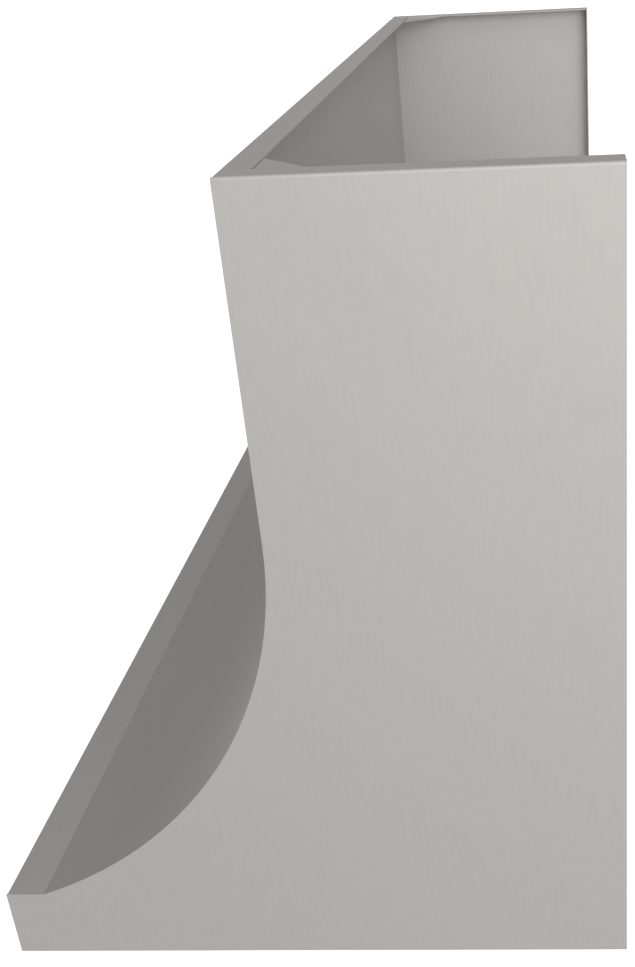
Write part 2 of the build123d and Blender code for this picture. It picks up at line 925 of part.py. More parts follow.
# Grease tray on two runners under the rear edge of the filters
tray_floor = casing_sheet + 2 * liner_sheet + tray_seat_gap
tray_rear = rear_wall_y - tray_rear_gap
tray_front = tray_rear - tray_depth
tray_half = wall_half - liner_sheet - tray_side_gap
with BuildPart() as grease_tray:
    block((-tray_half, tray_half), (tray_front, tray_rear), (tray_floor, tray_floor + tray_height))
    block(
        (-tray_half + tray_sheet, tray_half - tray_sheet),
        (tray_front + tray_sheet, tray_rear - tray_sheet),
        (tray_floor + tray_sheet, tray_floor + tray_height),
        mode=Mode.SUBTRACT,
    )
    block(
        (-tray_half, tray_half),
        (tray_front, tray_front + tray_rim),
        (tray_floor + tray_height - tray_sheet, tray_floor + tray_height),
    )
    block(
        (-tray_half, tray_half),
        (tray_rear - tray_rim, tray_rear),
        (tray_floor + tray_height - tray_sheet, tray_floor + tray_height),
    )
save(grease_tray, "grease_tray")

runner_z = casing_sheet + liner_sheet
with BuildPart() as tray_runners:
    for side in (1, -1):
        foot_inner, foot_outer = sorted((side * wall_half, side * bank_half))
        block(
            (foot_inner, foot_outer),
            (rear_wall_y - runner_length, rear_wall_y),
            (runner_z, runner_z + liner_sheet),
        )
        inner, outer = sorted((side * wall_half, side * (wall_half - liner_sheet)))
        block(
            (inner, outer),
            (rear_wall_y - runner_length, rear_wall_y),
            (runner_z, runner_z + runner_height),
        )
save(tray_runners, "tray_runners")

# Lamps, each a turned body with cooling fins and a lens
lamp_top = console_height + lamp_body_height
lens_low = console_height - lamp_trim_height + lamp_lens_inset
lens_high = lens_low + lamp_lens_thickness
pocket_radius = lamp_lens_radius + lamp_lens_gap
fin_roots = lamp_body_radius - lamp_fin_depth
fin_start = console_height + liner_sheet + lamp_fin_thickness
fin_count = int((lamp_top - fin_start) / lamp_fin_pitch)
with BuildPart() as lamp_housings:
    for x in lamp_positions:
        with Locations((x, console_middle, console_height - lamp_trim_height)):
            Cylinder(
                lamp_trim_radius,
                lamp_trim_height,
                align=(Align.CENTER, Align.CENTER, Align.MIN),
            )
        with Locations((x, console_middle, console_height)):
            Cylinder(
                lamp_body_radius,
                lamp_body_height,
                align=(Align.CENTER, Align.CENTER, Align.MIN),
            )
        for fin in range(fin_count):
            with BuildSketch(Plane.XY.offset(fin_start + fin * lamp_fin_pitch)):
                with Locations((x, console_middle)):
                    Circle(lamp_body_radius)
                    Circle(fin_roots, mode=Mode.SUBTRACT)
            extrude(amount=lamp_fin_pitch - lamp_fin_thickness, mode=Mode.SUBTRACT)
        with Locations((x, console_middle, console_height - lamp_trim_height)):
            Cylinder(
                pocket_radius,
                lens_high - console_height + lamp_trim_height,
                align=(Align.CENTER, Align.CENTER, Align.MIN),
                mode=Mode.SUBTRACT,
            )
save(lamp_housings, "lamp_housings")

with BuildPart() as lamp_lenses:
    with Locations(*[(x, console_middle, lens_low) for x in lamp_positions]):
        Cylinder(
            lamp_lens_radius,
            lamp_lens_thickness,
            align=(Align.CENTER, Align.CENTER, Align.MIN),
        )
    fillet(lamp_lenses.edges().group_by(Axis.Z)[0], radius=lamp_lens_inset)
save(lamp_lenses, "lamp_lenses")

# Controls, two rotary switches with their spindles and knobs
knob_top = console_height - knob_gap
knob_base = knob_top - knob_height
switch_floor = console_height + liner_sheet
control_names = (("fan_switch", "fan_knob"), ("light_dimmer", "light_knob"))
for x, (switch_name, knob_name) in zip(knob_positions, control_names):
    with BuildPart() as switch_body:
        block(
            (x - switch_size / 2, x + switch_size / 2),
            (console_middle - switch_size / 2, console_middle + switch_size / 2),
            (switch_floor, switch_floor + switch_height),
        )
        fillet(switch_body.edges().filter_by(Axis.Z), radius=spindle_radius)
        with Locations((x, console_middle, console_height - bushing_drop)):
            Cylinder(
                bushing_radius,
                liner_sheet + bushing_drop,
                align=(Align.CENTER, Align.CENTER, Align.MIN),
            )
            Cylinder(
                spindle_radius + spindle_clearance,
                bushing_drop + liner_sheet + spindle_reach,
                align=(Align.CENTER, Align.CENTER, Align.MIN),
                mode=Mode.SUBTRACT,
            )
    save(switch_body, switch_name)

    spindle_low = knob_top - spindle_depth
    spindle_high = console_height + liner_sheet + spindle_reach - spindle_radius
    with BuildPart() as spindle:
        with Locations((x, console_middle, spindle_low)):
            Cylinder(
                spindle_radius,
                spindle_high - spindle_low,
                align=(Align.CENTER, Align.CENTER, Align.MIN),
            )
    save(spindle, knob_name.replace("knob", "spindle"))

    with BuildPart() as knob:
        with BuildSketch(Plane.XY.offset(knob_base)):
            with Locations((x, console_middle)):
                Circle(knob_grip_radius)
                with PolarLocations(knob_grip_radius, knob_flutes):
                    Circle(knob_flute_radius, mode=Mode.SUBTRACT)
        extrude(amount=knob_height - knob_skirt_height)
        with Locations((x, console_middle, knob_top - knob_skirt_height)):
            Cylinder(
                knob_radius,
                knob_skirt_height,
                align=(Align.CENTER, Align.CENTER, Align.MIN),
            )
        fillet(
            knob.edges().filter_by(GeomType.CIRCLE).group_by(Axis.Z)[-1],
            radius=knob_gap,
        )
        with Locations((x, console_middle, spindle_low)):
            Cylinder(
                spindle_radius,
                spindle_depth,
                align=(Align.CENTER, Align.CENTER, Align.MIN),
                mode=Mode.SUBTRACT,
            )
    save(knob, knob_name)

# Control box over the switches, with the control cable's end in its right side
box_half = control_box_width / 2
box_front = console_middle - control_box_depth / 2
box_rear = console_middle + control_box_depth / 2
box_top = switch_floor + control_box_height
control_entry_y = box_rear - 2 * control_cable_radius - box_sheet
control_entry_z = box_top - 2 * control_cable_radius - box_sheet
with BuildPart() as control_box:
    block((-box_half, box_half), (box_front, box_rear), (switch_floor, box_top))
    block(
        (-box_half + box_sheet, box_half - box_sheet),
        (box_front + box_sheet, box_rear - box_sheet),
        (switch_floor, box_top - box_sheet),
        mode=Mode.SUBTRACT,
    )
    with Locations(Plane((box_half, control_entry_y, control_entry_z), z_dir=(1, 0, 0))):
        Hole(control_cable_radius, depth=box_sheet)
save(control_box, "control_box")

# Blower scroll, its wrapper and the flanges under the plenum top
first_x = wheel_x - scroll_step / 2
second_x = wheel_x + scroll_step / 2
first_z = wheel_z - scroll_step / 2
third_z = wheel_z + scroll_step / 2
third_radius = scroll_start_radius + 2 * scroll_step


def scroll_outline(grow):
    """Outline of the scroll, three quarter arcs that widen by steps, grown outwards by a distance."""
    radius = scroll_start_radius + grow
    tongue_x = -outlet_half - grow
    tongue_z = first_z + math.sqrt(radius**2 - (tongue_x - first_x) ** 2)
    tongue_angle = math.degrees(math.asin((tongue_z - first_z) / radius))
    outer_x = second_x + third_radius + grow
    Polyline(
        (outer_x, third_z),
        (outer_x, plenum_height),
        (tongue_x, plenum_height),
        (tongue_x, tongue_z),
    )
    CenterArc((first_x, first_z), radius, tongue_angle, 180 - tongue_angle)
    CenterArc((second_x, first_z), radius + scroll_step, 180, 90)
    CenterArc((second_x, third_z), radius + 2 * scroll_step, 270, 90)


# Local axes of both faces are X and Z, and their normals point away from the wall.
scroll_front = blower_y - scroll_half
scroll_rear = blower_y + scroll_half
front_face = Plane(origin=(0, scroll_front, 0), x_dir=(1, 0, 0), z_dir=(0, -1, 0))
rear_face = Plane(origin=(0, scroll_rear + scroll_sheet, 0), x_dir=(1, 0, 0), z_dir=(0, -1, 0))
flange_low = plenum_height - scroll_sheet

with BuildPart() as blower_scroll:
    with BuildSketch(front_face):
        with BuildLine():
            scroll_outline(scroll_sheet)
        make_face()
        with BuildLine():
            scroll_outline(0)
        make_face(mode=Mode.SUBTRACT)
    extrude(amount=-scroll_width)
    for side in (1, -1):
        start = outlet_half + scroll_sheet
        inner, outer = sorted((side * start, side * (start + blower_flange)))
        block((inner, outer), (scroll_front, scroll_rear), (flange_low, plenum_height))
    with Locations(*[(x, y, plenum_height) for x, y in blower_screws]):
        Hole(screw_radius, depth=scroll_sheet)
save(blower_scroll, "blower_scroll")

# Cheeks of the scroll with their inlet rings
for plane, cheek_name, away in (
    (front_face, "blower_cheek_front", -1),
    (rear_face, "blower_cheek_rear", 1),
):
    cheek_y = scroll_front if away < 0 else scroll_rear
    with BuildPart() as cheek:
        with BuildSketch(plane):
            with BuildLine():
                scroll_outline(scroll_sheet)
            make_face()
            with Locations((wheel_x, wheel_z)):
                Circle(inlet_radius, mode=Mode.SUBTRACT)
        extrude(amount=scroll_sheet)
        ring = Plane((wheel_x, cheek_y, wheel_z), z_dir=(0, -away, 0))
        with BuildSketch(ring):
            Circle(inlet_radius + scroll_sheet)
            Circle(inlet_radius, mode=Mode.SUBTRACT)
        extrude(amount=inlet_depth)
        edge = cheek_y + away * scroll_sheet
        low, high = sorted((edge, edge + away * blower_flange))
        block((-outlet_half, outlet_half), (low, high), (flange_low, plenum_height))
    save(cheek, cheek_name)

# Wheel, blades held in the notches of a disc and between two end rings
wheel_front = blower_y - wheel_width / 2
blade_middle = (wheel_radius + wheel_inner_radius) / 2
wheel_end = Plane(
    origin=(wheel_x, wheel_front, wheel_z),
    x_dir=(1, 0, 0),
    z_dir=(0, -1, 0),
)
with BuildPart() as impeller:
    with BuildSketch(wheel_end.offset(-(wheel_width - wheel_disc) / 2)):
        Circle(blade_middle)
        with PolarLocations(blade_middle, blade_count):
            Rectangle(
                blade_length + 2 * blade_fit,
                blade_thickness + 2 * blade_fit,
                rotation=blade_pitch_angle,
                mode=Mode.SUBTRACT,
            )
    extrude(amount=-wheel_disc)
    with BuildSketch(wheel_end.offset(-wheel_ring - blade_fit)):
        with PolarLocations(blade_middle, blade_count):
            Rectangle(blade_length, blade_thickness, rotation=blade_pitch_angle)
    extrude(amount=2 * (wheel_ring + blade_fit) - wheel_width)
    for offset in (0, -wheel_width + wheel_ring):
        with BuildSketch(wheel_end.offset(offset)):
            Circle(wheel_radius)
            Circle(wheel_inner_radius, mode=Mode.SUBTRACT)
        extrude(amount=-wheel_ring)
    with BuildSketch(wheel_end.offset(-(wheel_width - hub_length) / 2)):
        Circle(hub_radius)
    extrude(amount=-hub_length)
    with BuildSketch(wheel_end):
        Circle(shaft_radius)
    extrude(amount=-wheel_width, mode=Mode.SUBTRACT)
save(impeller, "impeller")

# Motor inside the front half of the wheel, with its shaft, and the bracket that carries it
motor_rear = blower_y - hub_length / 2 - motor_gap
motor_front = motor_rear - motor_length
motor_end = Plane(origin=(wheel_x, motor_rear, wheel_z), x_dir=(1, 0, 0), z_dir=(0, -1, 0))
bracket_face = scroll_front - scroll_sheet
with BuildPart() as blower_motor:
    with BuildSketch(motor_end):
        Circle(motor_radius)
    extrude(amount=motor_length)
    fillet(blower_motor.edges().filter_by(GeomType.CIRCLE), radius=motor_cap)
    groove_count = int((motor_length / 2) / motor_groove_pitch)
    for index in range(groove_count):
        with BuildSketch(motor_end.offset(motor_groove_pitch * (index + 1))):
            Circle(motor_radius)
            Circle(motor_radius - motor_groove, mode=Mode.SUBTRACT)
        extrude(amount=motor_groove, mode=Mode.SUBTRACT)
    with BuildSketch(motor_end):
        Circle(shaft_radius + shaft_clearance)
    extrude(amount=motor_length - motor_gap, mode=Mode.SUBTRACT)
save(blower_motor, "blower_motor")

shaft_front = motor_front + motor_gap + motor_cap
shaft_rear = blower_y + hub_length / 2
with BuildPart() as motor_shaft:
    with BuildSketch(Plane((wheel_x, shaft_front, wheel_z), z_dir=(0, 1, 0))):
        Circle(shaft_radius)
    extrude(amount=shaft_rear - shaft_front)
save(motor_shaft, "motor_shaft")

band_outer = motor_radius + bracket_sheet
arm_end = inlet_radius + inlet_lip + bracket_arm_width / 2
arm_middle = (motor_radius + bracket_sheet / 2 + arm_end) / 2
arm_length = arm_end - motor_radius - bracket_sheet / 2
arm_plane = Plane(origin=(wheel_x, bracket_face, wheel_z), x_dir=(1, 0, 0), z_dir=(0, -1, 0))
with BuildPart() as motor_bracket:
    with BuildSketch(arm_plane):
        Circle(band_outer)
        with PolarLocations(arm_middle, bracket_arms, start_angle=180 / bracket_arms):
            Rectangle(arm_length, bracket_arm_width)
        Circle(motor_radius, mode=Mode.SUBTRACT)
    extrude(amount=bracket_sheet)
    with BuildSketch(arm_plane):
        Circle(band_outer)
        Circle(motor_radius, mode=Mode.SUBTRACT)
    extrude(amount=bracket_band)
save(motor_bracket, "motor_bracket")

# Run capacitor, clipped to the underside of the plenum top beside the blower
capacitor_x = outlet_half + scroll_sheet + blower_flange + 2 * capacitor_radius
capacitor_z = plenum_height - capacitor_radius
with BuildPart() as capacitor:
    with BuildSketch(Plane((capacitor_x, blower_y - capacitor_length / 2, capacitor_z), z_dir=(0, 1, 0))):
        Circle(capacitor_radius)
    extrude(amount=capacitor_length)
    fillet(capacitor.edges().filter_by(GeomType.CIRCLE), radius=scroll_sheet)
save(capacitor, "capacitor")

# Duct collar, a spun ring with stops for the flaps and holes for their rod
collar_top = plenum_top_z + collar_height
rod_z = plenum_top_z + rod_height
with BuildPart() as duct_collar:
    with BuildSketch(Plane(origin=(0, blower_y, 0), x_dir=(1, 0, 0), z_dir=(0, -1, 0))):
        with BuildLine():
            Polyline(
                (collar_inner, plenum_top_z),
                (collar_ring, plenum_top_z),
                (collar_ring, plenum_top_z + collar_sheet),
                (collar_radius, plenum_top_z + collar_sheet),
                (collar_radius, collar_top),
                (collar_inner, collar_top),
                close=True,
            )
        make_face()
    revolve(axis=Axis((0, blower_y, 0), (0, 0, 1)))
    for side in (1, -1):
        near, far = sorted(
            (
                blower_y + side * (collar_inner - stop_depth),
                blower_y + side * (collar_inner + collar_sheet / 2),
            )
        )
        low = rod_z - flap_sheet / 2 - stop_gap - stop_height
        block((-stop_width / 2, stop_width / 2), (near, far), (low, low + stop_height))
    with Locations(Plane((collar_radius, blower_y, rod_z), z_dir=(1, 0, 0))):
        Hole(rod_radius, depth=2 * collar_radius)
    with Locations(*[(x, y, plenum_top_z + collar_sheet) for x, y in collar_screws]):
        Hole(screw_radius, depth=collar_sheet)
save(duct_collar, "duct_collar")

# Rod across the collar, and the two half-round flaps that turn on it
bore_radius = rod_radius + rod_clearance
knuckle_radius = bore_radius + knuckle_wall
flap_radius = collar_inner - flap_edge_gap
with BuildPart() as damper_rod:
    with BuildSketch(Plane((-collar_radius, blower_y, rod_z), z_dir=(1, 0, 0))):
        Circle(rod_radius)
    extrude(amount=2 * collar_radius)
save(damper_rod, "damper_rod")

for way, spread, flap_name in (
    (-1, front_knuckles, "damper_flap_front"),
    (1, rear_knuckles, "damper_flap_rear"),
):
    with BuildPart() as damper_flap:
        with BuildSketch(Plane.XY.offset(rod_z - flap_sheet / 2)):
            with Locations((0, blower_y)):
                Circle(flap_radius)
            with Locations((0, blower_y - way * (flap_radius - flap_relief))):
                Rectangle(2 * flap_radius, 2 * flap_radius, mode=Mode.SUBTRACT)
            tab_y = blower_y + way * (bore_radius + flap_relief + flap_sheet) / 2
            with Locations((spread, tab_y), (-spread, tab_y)):
                Rectangle(knuckle_width, flap_relief + flap_sheet - bore_radius)
        extrude(amount=flap_sheet)
        for side in (1, -1):
            start = side * spread - knuckle_width / 2
            with BuildSketch(Plane((start, blower_y, rod_z), z_dir=(1, 0, 0))):
                Circle(knuckle_radius)
            extrude(amount=knuckle_width)
            with BuildSketch(Plane((start, blower_y, rod_z), z_dir=(1, 0, 0))):
                Circle(bore_radius)
            extrude(amount=knuckle_width, mode=Mode.SUBTRACT)
    save(damper_flap, flap_name)

# Junction box on the plenum top, and its cover with the conduit hole
junction_left = junction_x - junction_width / 2
junction_right = junction_x + junction_width / 2
junction_front = neck_inner_y + plenum_sheet + junction_gap
junction_rear = junction_front + junction_depth
junction_middle = (junction_front + junction_rear) / 2
junction_top = plenum_top_z + junction_height
cover_screw_reach = (junction_width - cover_tab) / 2
cover_screws = [(junction_x + side * cover_screw_reach, junction_middle) for side in (-1, 1)]
with BuildPart() as junction_box:
    block(
        (junction_left, junction_right),
        (junction_front, junction_rear),
        (plenum_top_z, junction_top),
    )
    block(
        (junction_left + box_sheet, junction_right - box_sheet),
        (junction_front + box_sheet, junction_rear - box_sheet),
        (plenum_top_z + box_sheet, junction_top),
        mode=Mode.SUBTRACT,
    )
    for left in (junction_left, junction_right - cover_tab):
        block(
            (left, left + cover_tab),
            (junction_middle - cover_tab / 2, junction_middle + cover_tab / 2),
            (junction_top - box_sheet, junction_top),
        )
    with Locations(*[(x, y, junction_top) for x, y in cover_screws]):
        Hole(screw_radius, depth=box_sheet)
    with Locations((motor_cable_x, cable_y, plenum_top_z + box_sheet)):
        Hole(motor_cable_radius, depth=box_sheet)
    with Locations((control_cable_x, control_y, plenum_top_z + box_sheet)):
        Hole(control_cable_radius, depth=box_sheet)
save(junction_box, "junction_box")

with BuildPart() as junction_cover:
    block(
        (junction_left, junction_right),
        (junction_front, junction_rear),
        (junction_top, junction_top + box_sheet),
    )
    with Locations((junction_x, junction_middle, junction_top + box_sheet)):
        Hole(knockout_radius, depth=box_sheet)
    with Locations(*[(x, y, junction_top + box_sheet) for x, y in cover_screws]):
        Hole(screw_radius, depth=box_sheet)
save(junction_cover, "junction_cover")

# Lamp driver on the console, and the leads that join it to the control box and the lamps
with BuildPart() as lamp_driver:
    block(
        (driver_x - driver_width / 2, driver_x + driver_width / 2),
        (console_middle - driver_depth / 2, console_middle + driver_depth / 2),
        (switch_floor, switch_floor + driver_height),
    )
    fillet(lamp_driver.edges().filter_by(Axis.Z), radius=spindle_radius)
save(lamp_driver, "lamp_driver")

lead_y = console_end - lead_offset
lead_z = fin_start + (lamp_fin_pitch - lamp_fin_thickness) / 2
lead_ends = [(x, console_middle + fin_roots) for x in lamp_positions]
lead_ends += [(driver_x, console_middle + driver_depth / 2), (0, box_rear)]
with BuildPart() as lamp_leads:
    with BuildSketch(Plane((lamp_positions[0], lead_y, lead_z), z_dir=(1, 0, 0))):
        Circle(lead_radius)
    extrude(amount=lamp_positions[-1] - lamp_positions[0])
    for x, y in lead_ends:
        with BuildSketch(Plane((x, lead_y, lead_z), z_dir=(0, -1, 0))):
            Circle(lead_radius)
        extrude(amount=lead_y - y)
save(lamp_leads, "lamp_leads")

# Motor cable, from the junction box along the neck to the motor's front end
motor_run_z = plenum_height - motor_cable_drop
motor_cable_start = plenum_top_z + cable_tail
with BuildPart() as motor_cable:
    with BuildLine() as motor_route:
        FilletPolyline(
            (motor_cable_x, cable_y, motor_cable_start),
            (motor_cable_x, cable_y, motor_run_z),
            (wheel_x, cable_y, motor_run_z),
            (wheel_x, cable_y, wheel_z),
            (wheel_x, motor_front, wheel_z),
            radius=motor_cable_bend,
        )
    with BuildSketch(Plane.XY.offset(motor_cable_start)):
        with Locations((motor_cable_x, cable_y)):
            Circle(motor_cable_radius)
    sweep(path=motor_route.line)
save(motor_cable, "motor_cable")

# Control cable, down the neck and around the inside of the sweep to the control box
cable_sweep = inner_sweep_radius + control_cable_offset
cable_angle = math.radians(control_cable_angle)
arc_middle_y = sweep_y + cable_sweep * math.cos(cable_angle / 2)
arc_middle_z = sweep_top - cable_sweep * math.sin(cable_angle / 2)
arc_end_y = sweep_y + cable_sweep * math.cos(cable_angle)
arc_end_z = sweep_top - cable_sweep * math.sin(cable_angle)
run_out = (arc_end_y - control_entry_y) / math.sin(cable_angle)
run_end_z = arc_end_z - run_out * math.cos(cable_angle)
control_cable_end = box_half - cable_tail / 2
with BuildPart() as control_cable:
    with BuildLine() as control_route:
        Line(
            (control_cable_x, control_y, motor_cable_start),
            (control_cable_x, control_y, sweep_top),
        )
        ThreePointArc(
            (control_cable_x, control_y, sweep_top),
            (control_cable_x, arc_middle_y, arc_middle_z),
            (control_cable_x, arc_end_y, arc_end_z),
        )
        FilletPolyline(
            (control_cable_x, arc_end_y, arc_end_z),
            (control_cable_x, control_entry_y, run_end_z),
            (control_cable_x, control_entry_y, control_entry_z),
            (control_cable_end, control_entry_y, control_entry_z),
            radius=control_cable_bend,
        )
    with BuildSketch(Plane.XY.offset(motor_cable_start)):
        with Locations((control_cable_x, control_y)):
            Circle(control_cable_radius)
    sweep(path=control_route.line)
save(control_cable, "control_cable")


def sweep_place(x, y, z):
    """Plane on the inner face of the sweep that faces this point."""
    reach = math.hypot(y - sweep_y, z - sweep_top)
    out_y, out_z = (y - sweep_y) / reach, (z - sweep_top) / reach
    return Plane(
        (x, sweep_y + inner_sweep_radius * out_y, sweep_top + inner_sweep_radius * out_z),
        x_dir=(1, 0, 0),
        z_dir=(0, out_y, out_z),
    )


# Clips that hold both cables to the inner face of the sweep
motor_reach = math.hypot(cable_y - sweep_y, motor_run_z - sweep_top) - inner_sweep_radius
with BuildPart() as cable_clips:
    for share in motor_clip_shares:
        x = wheel_x + share * (motor_cable_x - wheel_x)
        with Locations(sweep_place(x, cable_y, motor_run_z)):
            Box(
                clip_width,
                2 * (motor_cable_radius + clip_wall),
                motor_reach + motor_cable_radius + clip_wall,
                align=(Align.CENTER, Align.CENTER, Align.MIN),
            )
        with Locations(Plane((x + clip_width, cable_y, motor_run_z), z_dir=(1, 0, 0))):
            Hole(motor_cable_radius, depth=2 * clip_width)
    for share in control_clip_shares:
        y = sweep_y + cable_sweep * math.cos(share * cable_angle)
        z = sweep_top - cable_sweep * math.sin(share * cable_angle)
        with Locations(sweep_place(control_cable_x, y, z)):
            Box(
                2 * (control_cable_radius + clip_wall),
                clip_width,
                control_cable_offset + control_cable_radius + clip_wall,
                align=(Align.CENTER, Align.CENTER, Align.MIN),
            )
    with BuildLine() as cable_arc:
        ThreePointArc(
            (control_cable_x, control_y, sweep_top),
            (control_cable_x, arc_middle_y, arc_middle_z),
            (control_cable_x, arc_end_y, arc_end_z),
        )
    with BuildSketch(Plane.XY.offset(sweep_top)):
        with Locations((control_cable_x, control_y)):
            Circle(control_cable_radius)
    sweep(path=cable_arc.line, mode=Mode.SUBTRACT)
save(cable_clips, "cable_clips")


def screw(x, y, z, way):
    """Pan-head screw whose head rests at this height and whose shank points this way along Z."""
    head_align = Align.MAX if way > 0 else Align.MIN
    shank_align = Align.MIN if way > 0 else Align.MAX
    with Locations((x, y, z)):
        Cylinder(
            screw_head_radius, screw_head_height, align=(Align.CENTER, Align.CENTER, head_align)
        )
        Cylinder(screw_radius, screw_length, align=(Align.CENTER, Align.CENTER, shank_align))


# Screws that hold the liner up, from below
with BuildPart() as liner_screws:
    for x, y in console_screws + rear_screws + side_screws:
        screw(x, y, 0, 1)
    for x, y in side_screws:
        screw(-x, y, 0, 1)
save(liner_screws, "liner_screws")

# Screws that hold the blower under the plenum top, the collar on it and the junction box's cover
with BuildPart() as plenum_screws:
    for x, y in blower_screws:
        screw(x, y, flange_low, 1)
    for x, y in collar_screws:
        screw(x, y, plenum_top_z + collar_sheet, -1)
    for x, y in cover_screws:
        screw(x, y, junction_top + box_sheet, -1)
save(plenum_screws, "plenum_screws")
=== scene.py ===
"""Dresses the wall-mount range hood: brushed casing, filters, lamps, knobs, blower and wiring.

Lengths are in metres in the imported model's own frame: X along the width, Y towards the wall, Z up,
with the origin on the wall plane at mid-width, level with the casing's bottom edge.
"""

import functools
import json
import logging
import math
from collections.abc import Callable
from dataclasses import dataclass
from enum import Enum

import bmesh
import bpy
import numpy as np
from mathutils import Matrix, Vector

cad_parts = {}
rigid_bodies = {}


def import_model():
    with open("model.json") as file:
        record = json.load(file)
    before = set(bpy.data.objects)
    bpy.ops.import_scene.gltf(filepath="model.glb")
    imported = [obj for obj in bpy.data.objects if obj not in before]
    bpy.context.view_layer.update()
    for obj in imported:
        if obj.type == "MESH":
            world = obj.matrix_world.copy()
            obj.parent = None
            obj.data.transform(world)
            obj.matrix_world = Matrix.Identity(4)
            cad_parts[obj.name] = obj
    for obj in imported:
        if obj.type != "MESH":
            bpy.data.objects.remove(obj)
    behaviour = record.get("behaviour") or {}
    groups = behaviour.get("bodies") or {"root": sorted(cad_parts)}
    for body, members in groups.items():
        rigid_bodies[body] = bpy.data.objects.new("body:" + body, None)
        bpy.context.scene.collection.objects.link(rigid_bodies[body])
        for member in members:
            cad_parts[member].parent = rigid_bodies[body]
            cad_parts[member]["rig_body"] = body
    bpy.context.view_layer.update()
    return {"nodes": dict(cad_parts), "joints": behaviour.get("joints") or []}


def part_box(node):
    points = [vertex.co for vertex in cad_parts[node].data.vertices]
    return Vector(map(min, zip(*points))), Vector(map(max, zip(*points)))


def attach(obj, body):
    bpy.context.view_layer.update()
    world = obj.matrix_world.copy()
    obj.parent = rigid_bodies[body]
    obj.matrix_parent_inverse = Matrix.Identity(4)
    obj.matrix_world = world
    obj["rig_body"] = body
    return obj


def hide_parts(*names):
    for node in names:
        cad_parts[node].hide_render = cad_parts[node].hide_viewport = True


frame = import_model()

LOG = logging.getLogger("range_hood")
MM = 0.001
TURN = 2 * np.pi
PICTURE_WIDTH, PICTURE_HEIGHT = 635, 967
WELD = 0.002 * MM
SMOOTH_ANGLE = math.radians(32)
ROUNDED_ANGLE = math.radians(50)
WHITE = (1.0, 1.0, 1.0)

Pair = tuple[float, float]
Triple = tuple[float, float, float]
Faces = tuple[np.ndarray, np.ndarray]


class Grain(Enum):
    """Way that the brushing runs: the coordinates it is laid out in and its axis in them."""

    ALONG_WIDTH = ("Object", 0)
    UPRIGHT = ("Object", 2)
    ACROSS_MAP = ("UV", 0)
    DOWN_MAP = ("UV", 1)


class Tree:
    """Adds shader nodes to one node tree and links them."""

    def __init__(self, tree: bpy.types.NodeTree) -> None:
        """Keeps the tree that the nodes go into."""
        self.tree = tree

    @classmethod
    def emptied(cls, owner: bpy.types.Material | bpy.types.World) -> "Tree":
        """Turns on a material's or world's nodes and takes out those that it starts with.

        Args:
            owner: The material or world.

        Returns:
            A Tree on its nodes.
        """
        owner.use_nodes = True
        owner.node_tree.nodes.clear()
        return cls(owner.node_tree)

    def add(self, kind: str, settings: dict | None = None, **inputs: object) -> bpy.types.Node:
        """Adds one node.

        Args:
            kind: Blender's type name without its ShaderNode prefix.
            settings: Properties of the node by name.
            inputs: Values or output sockets for its inputs, as feed takes them.

        Returns:
            The new node.
        """
        node = self.tree.nodes.new(kind if kind.startswith("NodeGroup") else f"ShaderNode{kind}")
        for name, value in (settings or {}).items():
            setattr(node, name, value)
        self.feed(node, **inputs)
        return node

    def feed(self, node: bpy.types.Node, **inputs: object) -> None:
        """Links output sockets to a node's inputs, or sets the inputs' values.

        Args:
            node: The node.
            inputs: Value or output socket for each input by its name, where an underscore stands
                for a space, or by i and its place, as in i0.
        """
        for name, value in inputs.items():
            index = name[1:]
            socket = node.inputs[int(index)] if index.isdigit() else node.inputs[name.replace("_", " ")]
            if isinstance(value, bpy.types.NodeSocket):
                self.tree.links.new(value, socket)
            else:
                socket.default_value = value

    def math(self, operation: str, *values: object) -> bpy.types.NodeSocket:
        """Result of one Math node on values or output sockets."""
        inputs = {f"i{index}": value for index, value in enumerate(values)}
        return self.add("Math", {"operation": operation}, **inputs).outputs[0]

    def spread(self, value: object, low: float, high: float) -> bpy.types.NodeSocket:
        """Value from 0 to 1 spread over a range, low + value x (high - low)."""
        return self.add("MapRange", Value=value, To_Min=low, To_Max=high).outputs[0]

    def step(self, value: object, reach: Pair, levels: Pair) -> bpy.types.NodeSocket:
        """Smooth step from one level to the other while the value goes through its reach."""
        ends = {"From_Min": reach[0], "From_Max": reach[1], "To_Min": levels[0], "To_Max": levels[1]}
        return self.add("MapRange", {"interpolation_type": "SMOOTHSTEP"}, Value=value, **ends).outputs[0]

    def noise(self, vector: object, scale: object, detail: float) -> bpy.types.NodeSocket:
        """Noise from 0 to 1 at this vector."""
        return self.add("TexNoise", Vector=vector, Scale=scale, Detail=detail).outputs["Fac"]

    def shade(self, colour: Triple, factor: object) -> bpy.types.NodeSocket:
        """Colour multiplied by a factor that changes over the surface.

        A Mix node for colours has them at inputs 6 and 7 and the result at output 2.

        Args:
            colour: The colour.
            factor: Socket of the factor.

        Returns:
            The socket of the product.
        """
        grey = self.add("CombineColor", Red=factor, Green=factor, Blue=factor).outputs[0]
        settings = {"data_type": "RGBA", "blend_type": "MULTIPLY"}
        return self.add("Mix", settings, i0=1.0, i6=(*colour, 1.0), i7=grey).outputs[2]

    def bump(self, height: object, depth: float) -> bpy.types.NodeSocket:
        """Normal of a bump with this height and depth in metres."""
        return self.add("Bump", Strength=1.0, Distance=depth, Height=height).outputs[0]


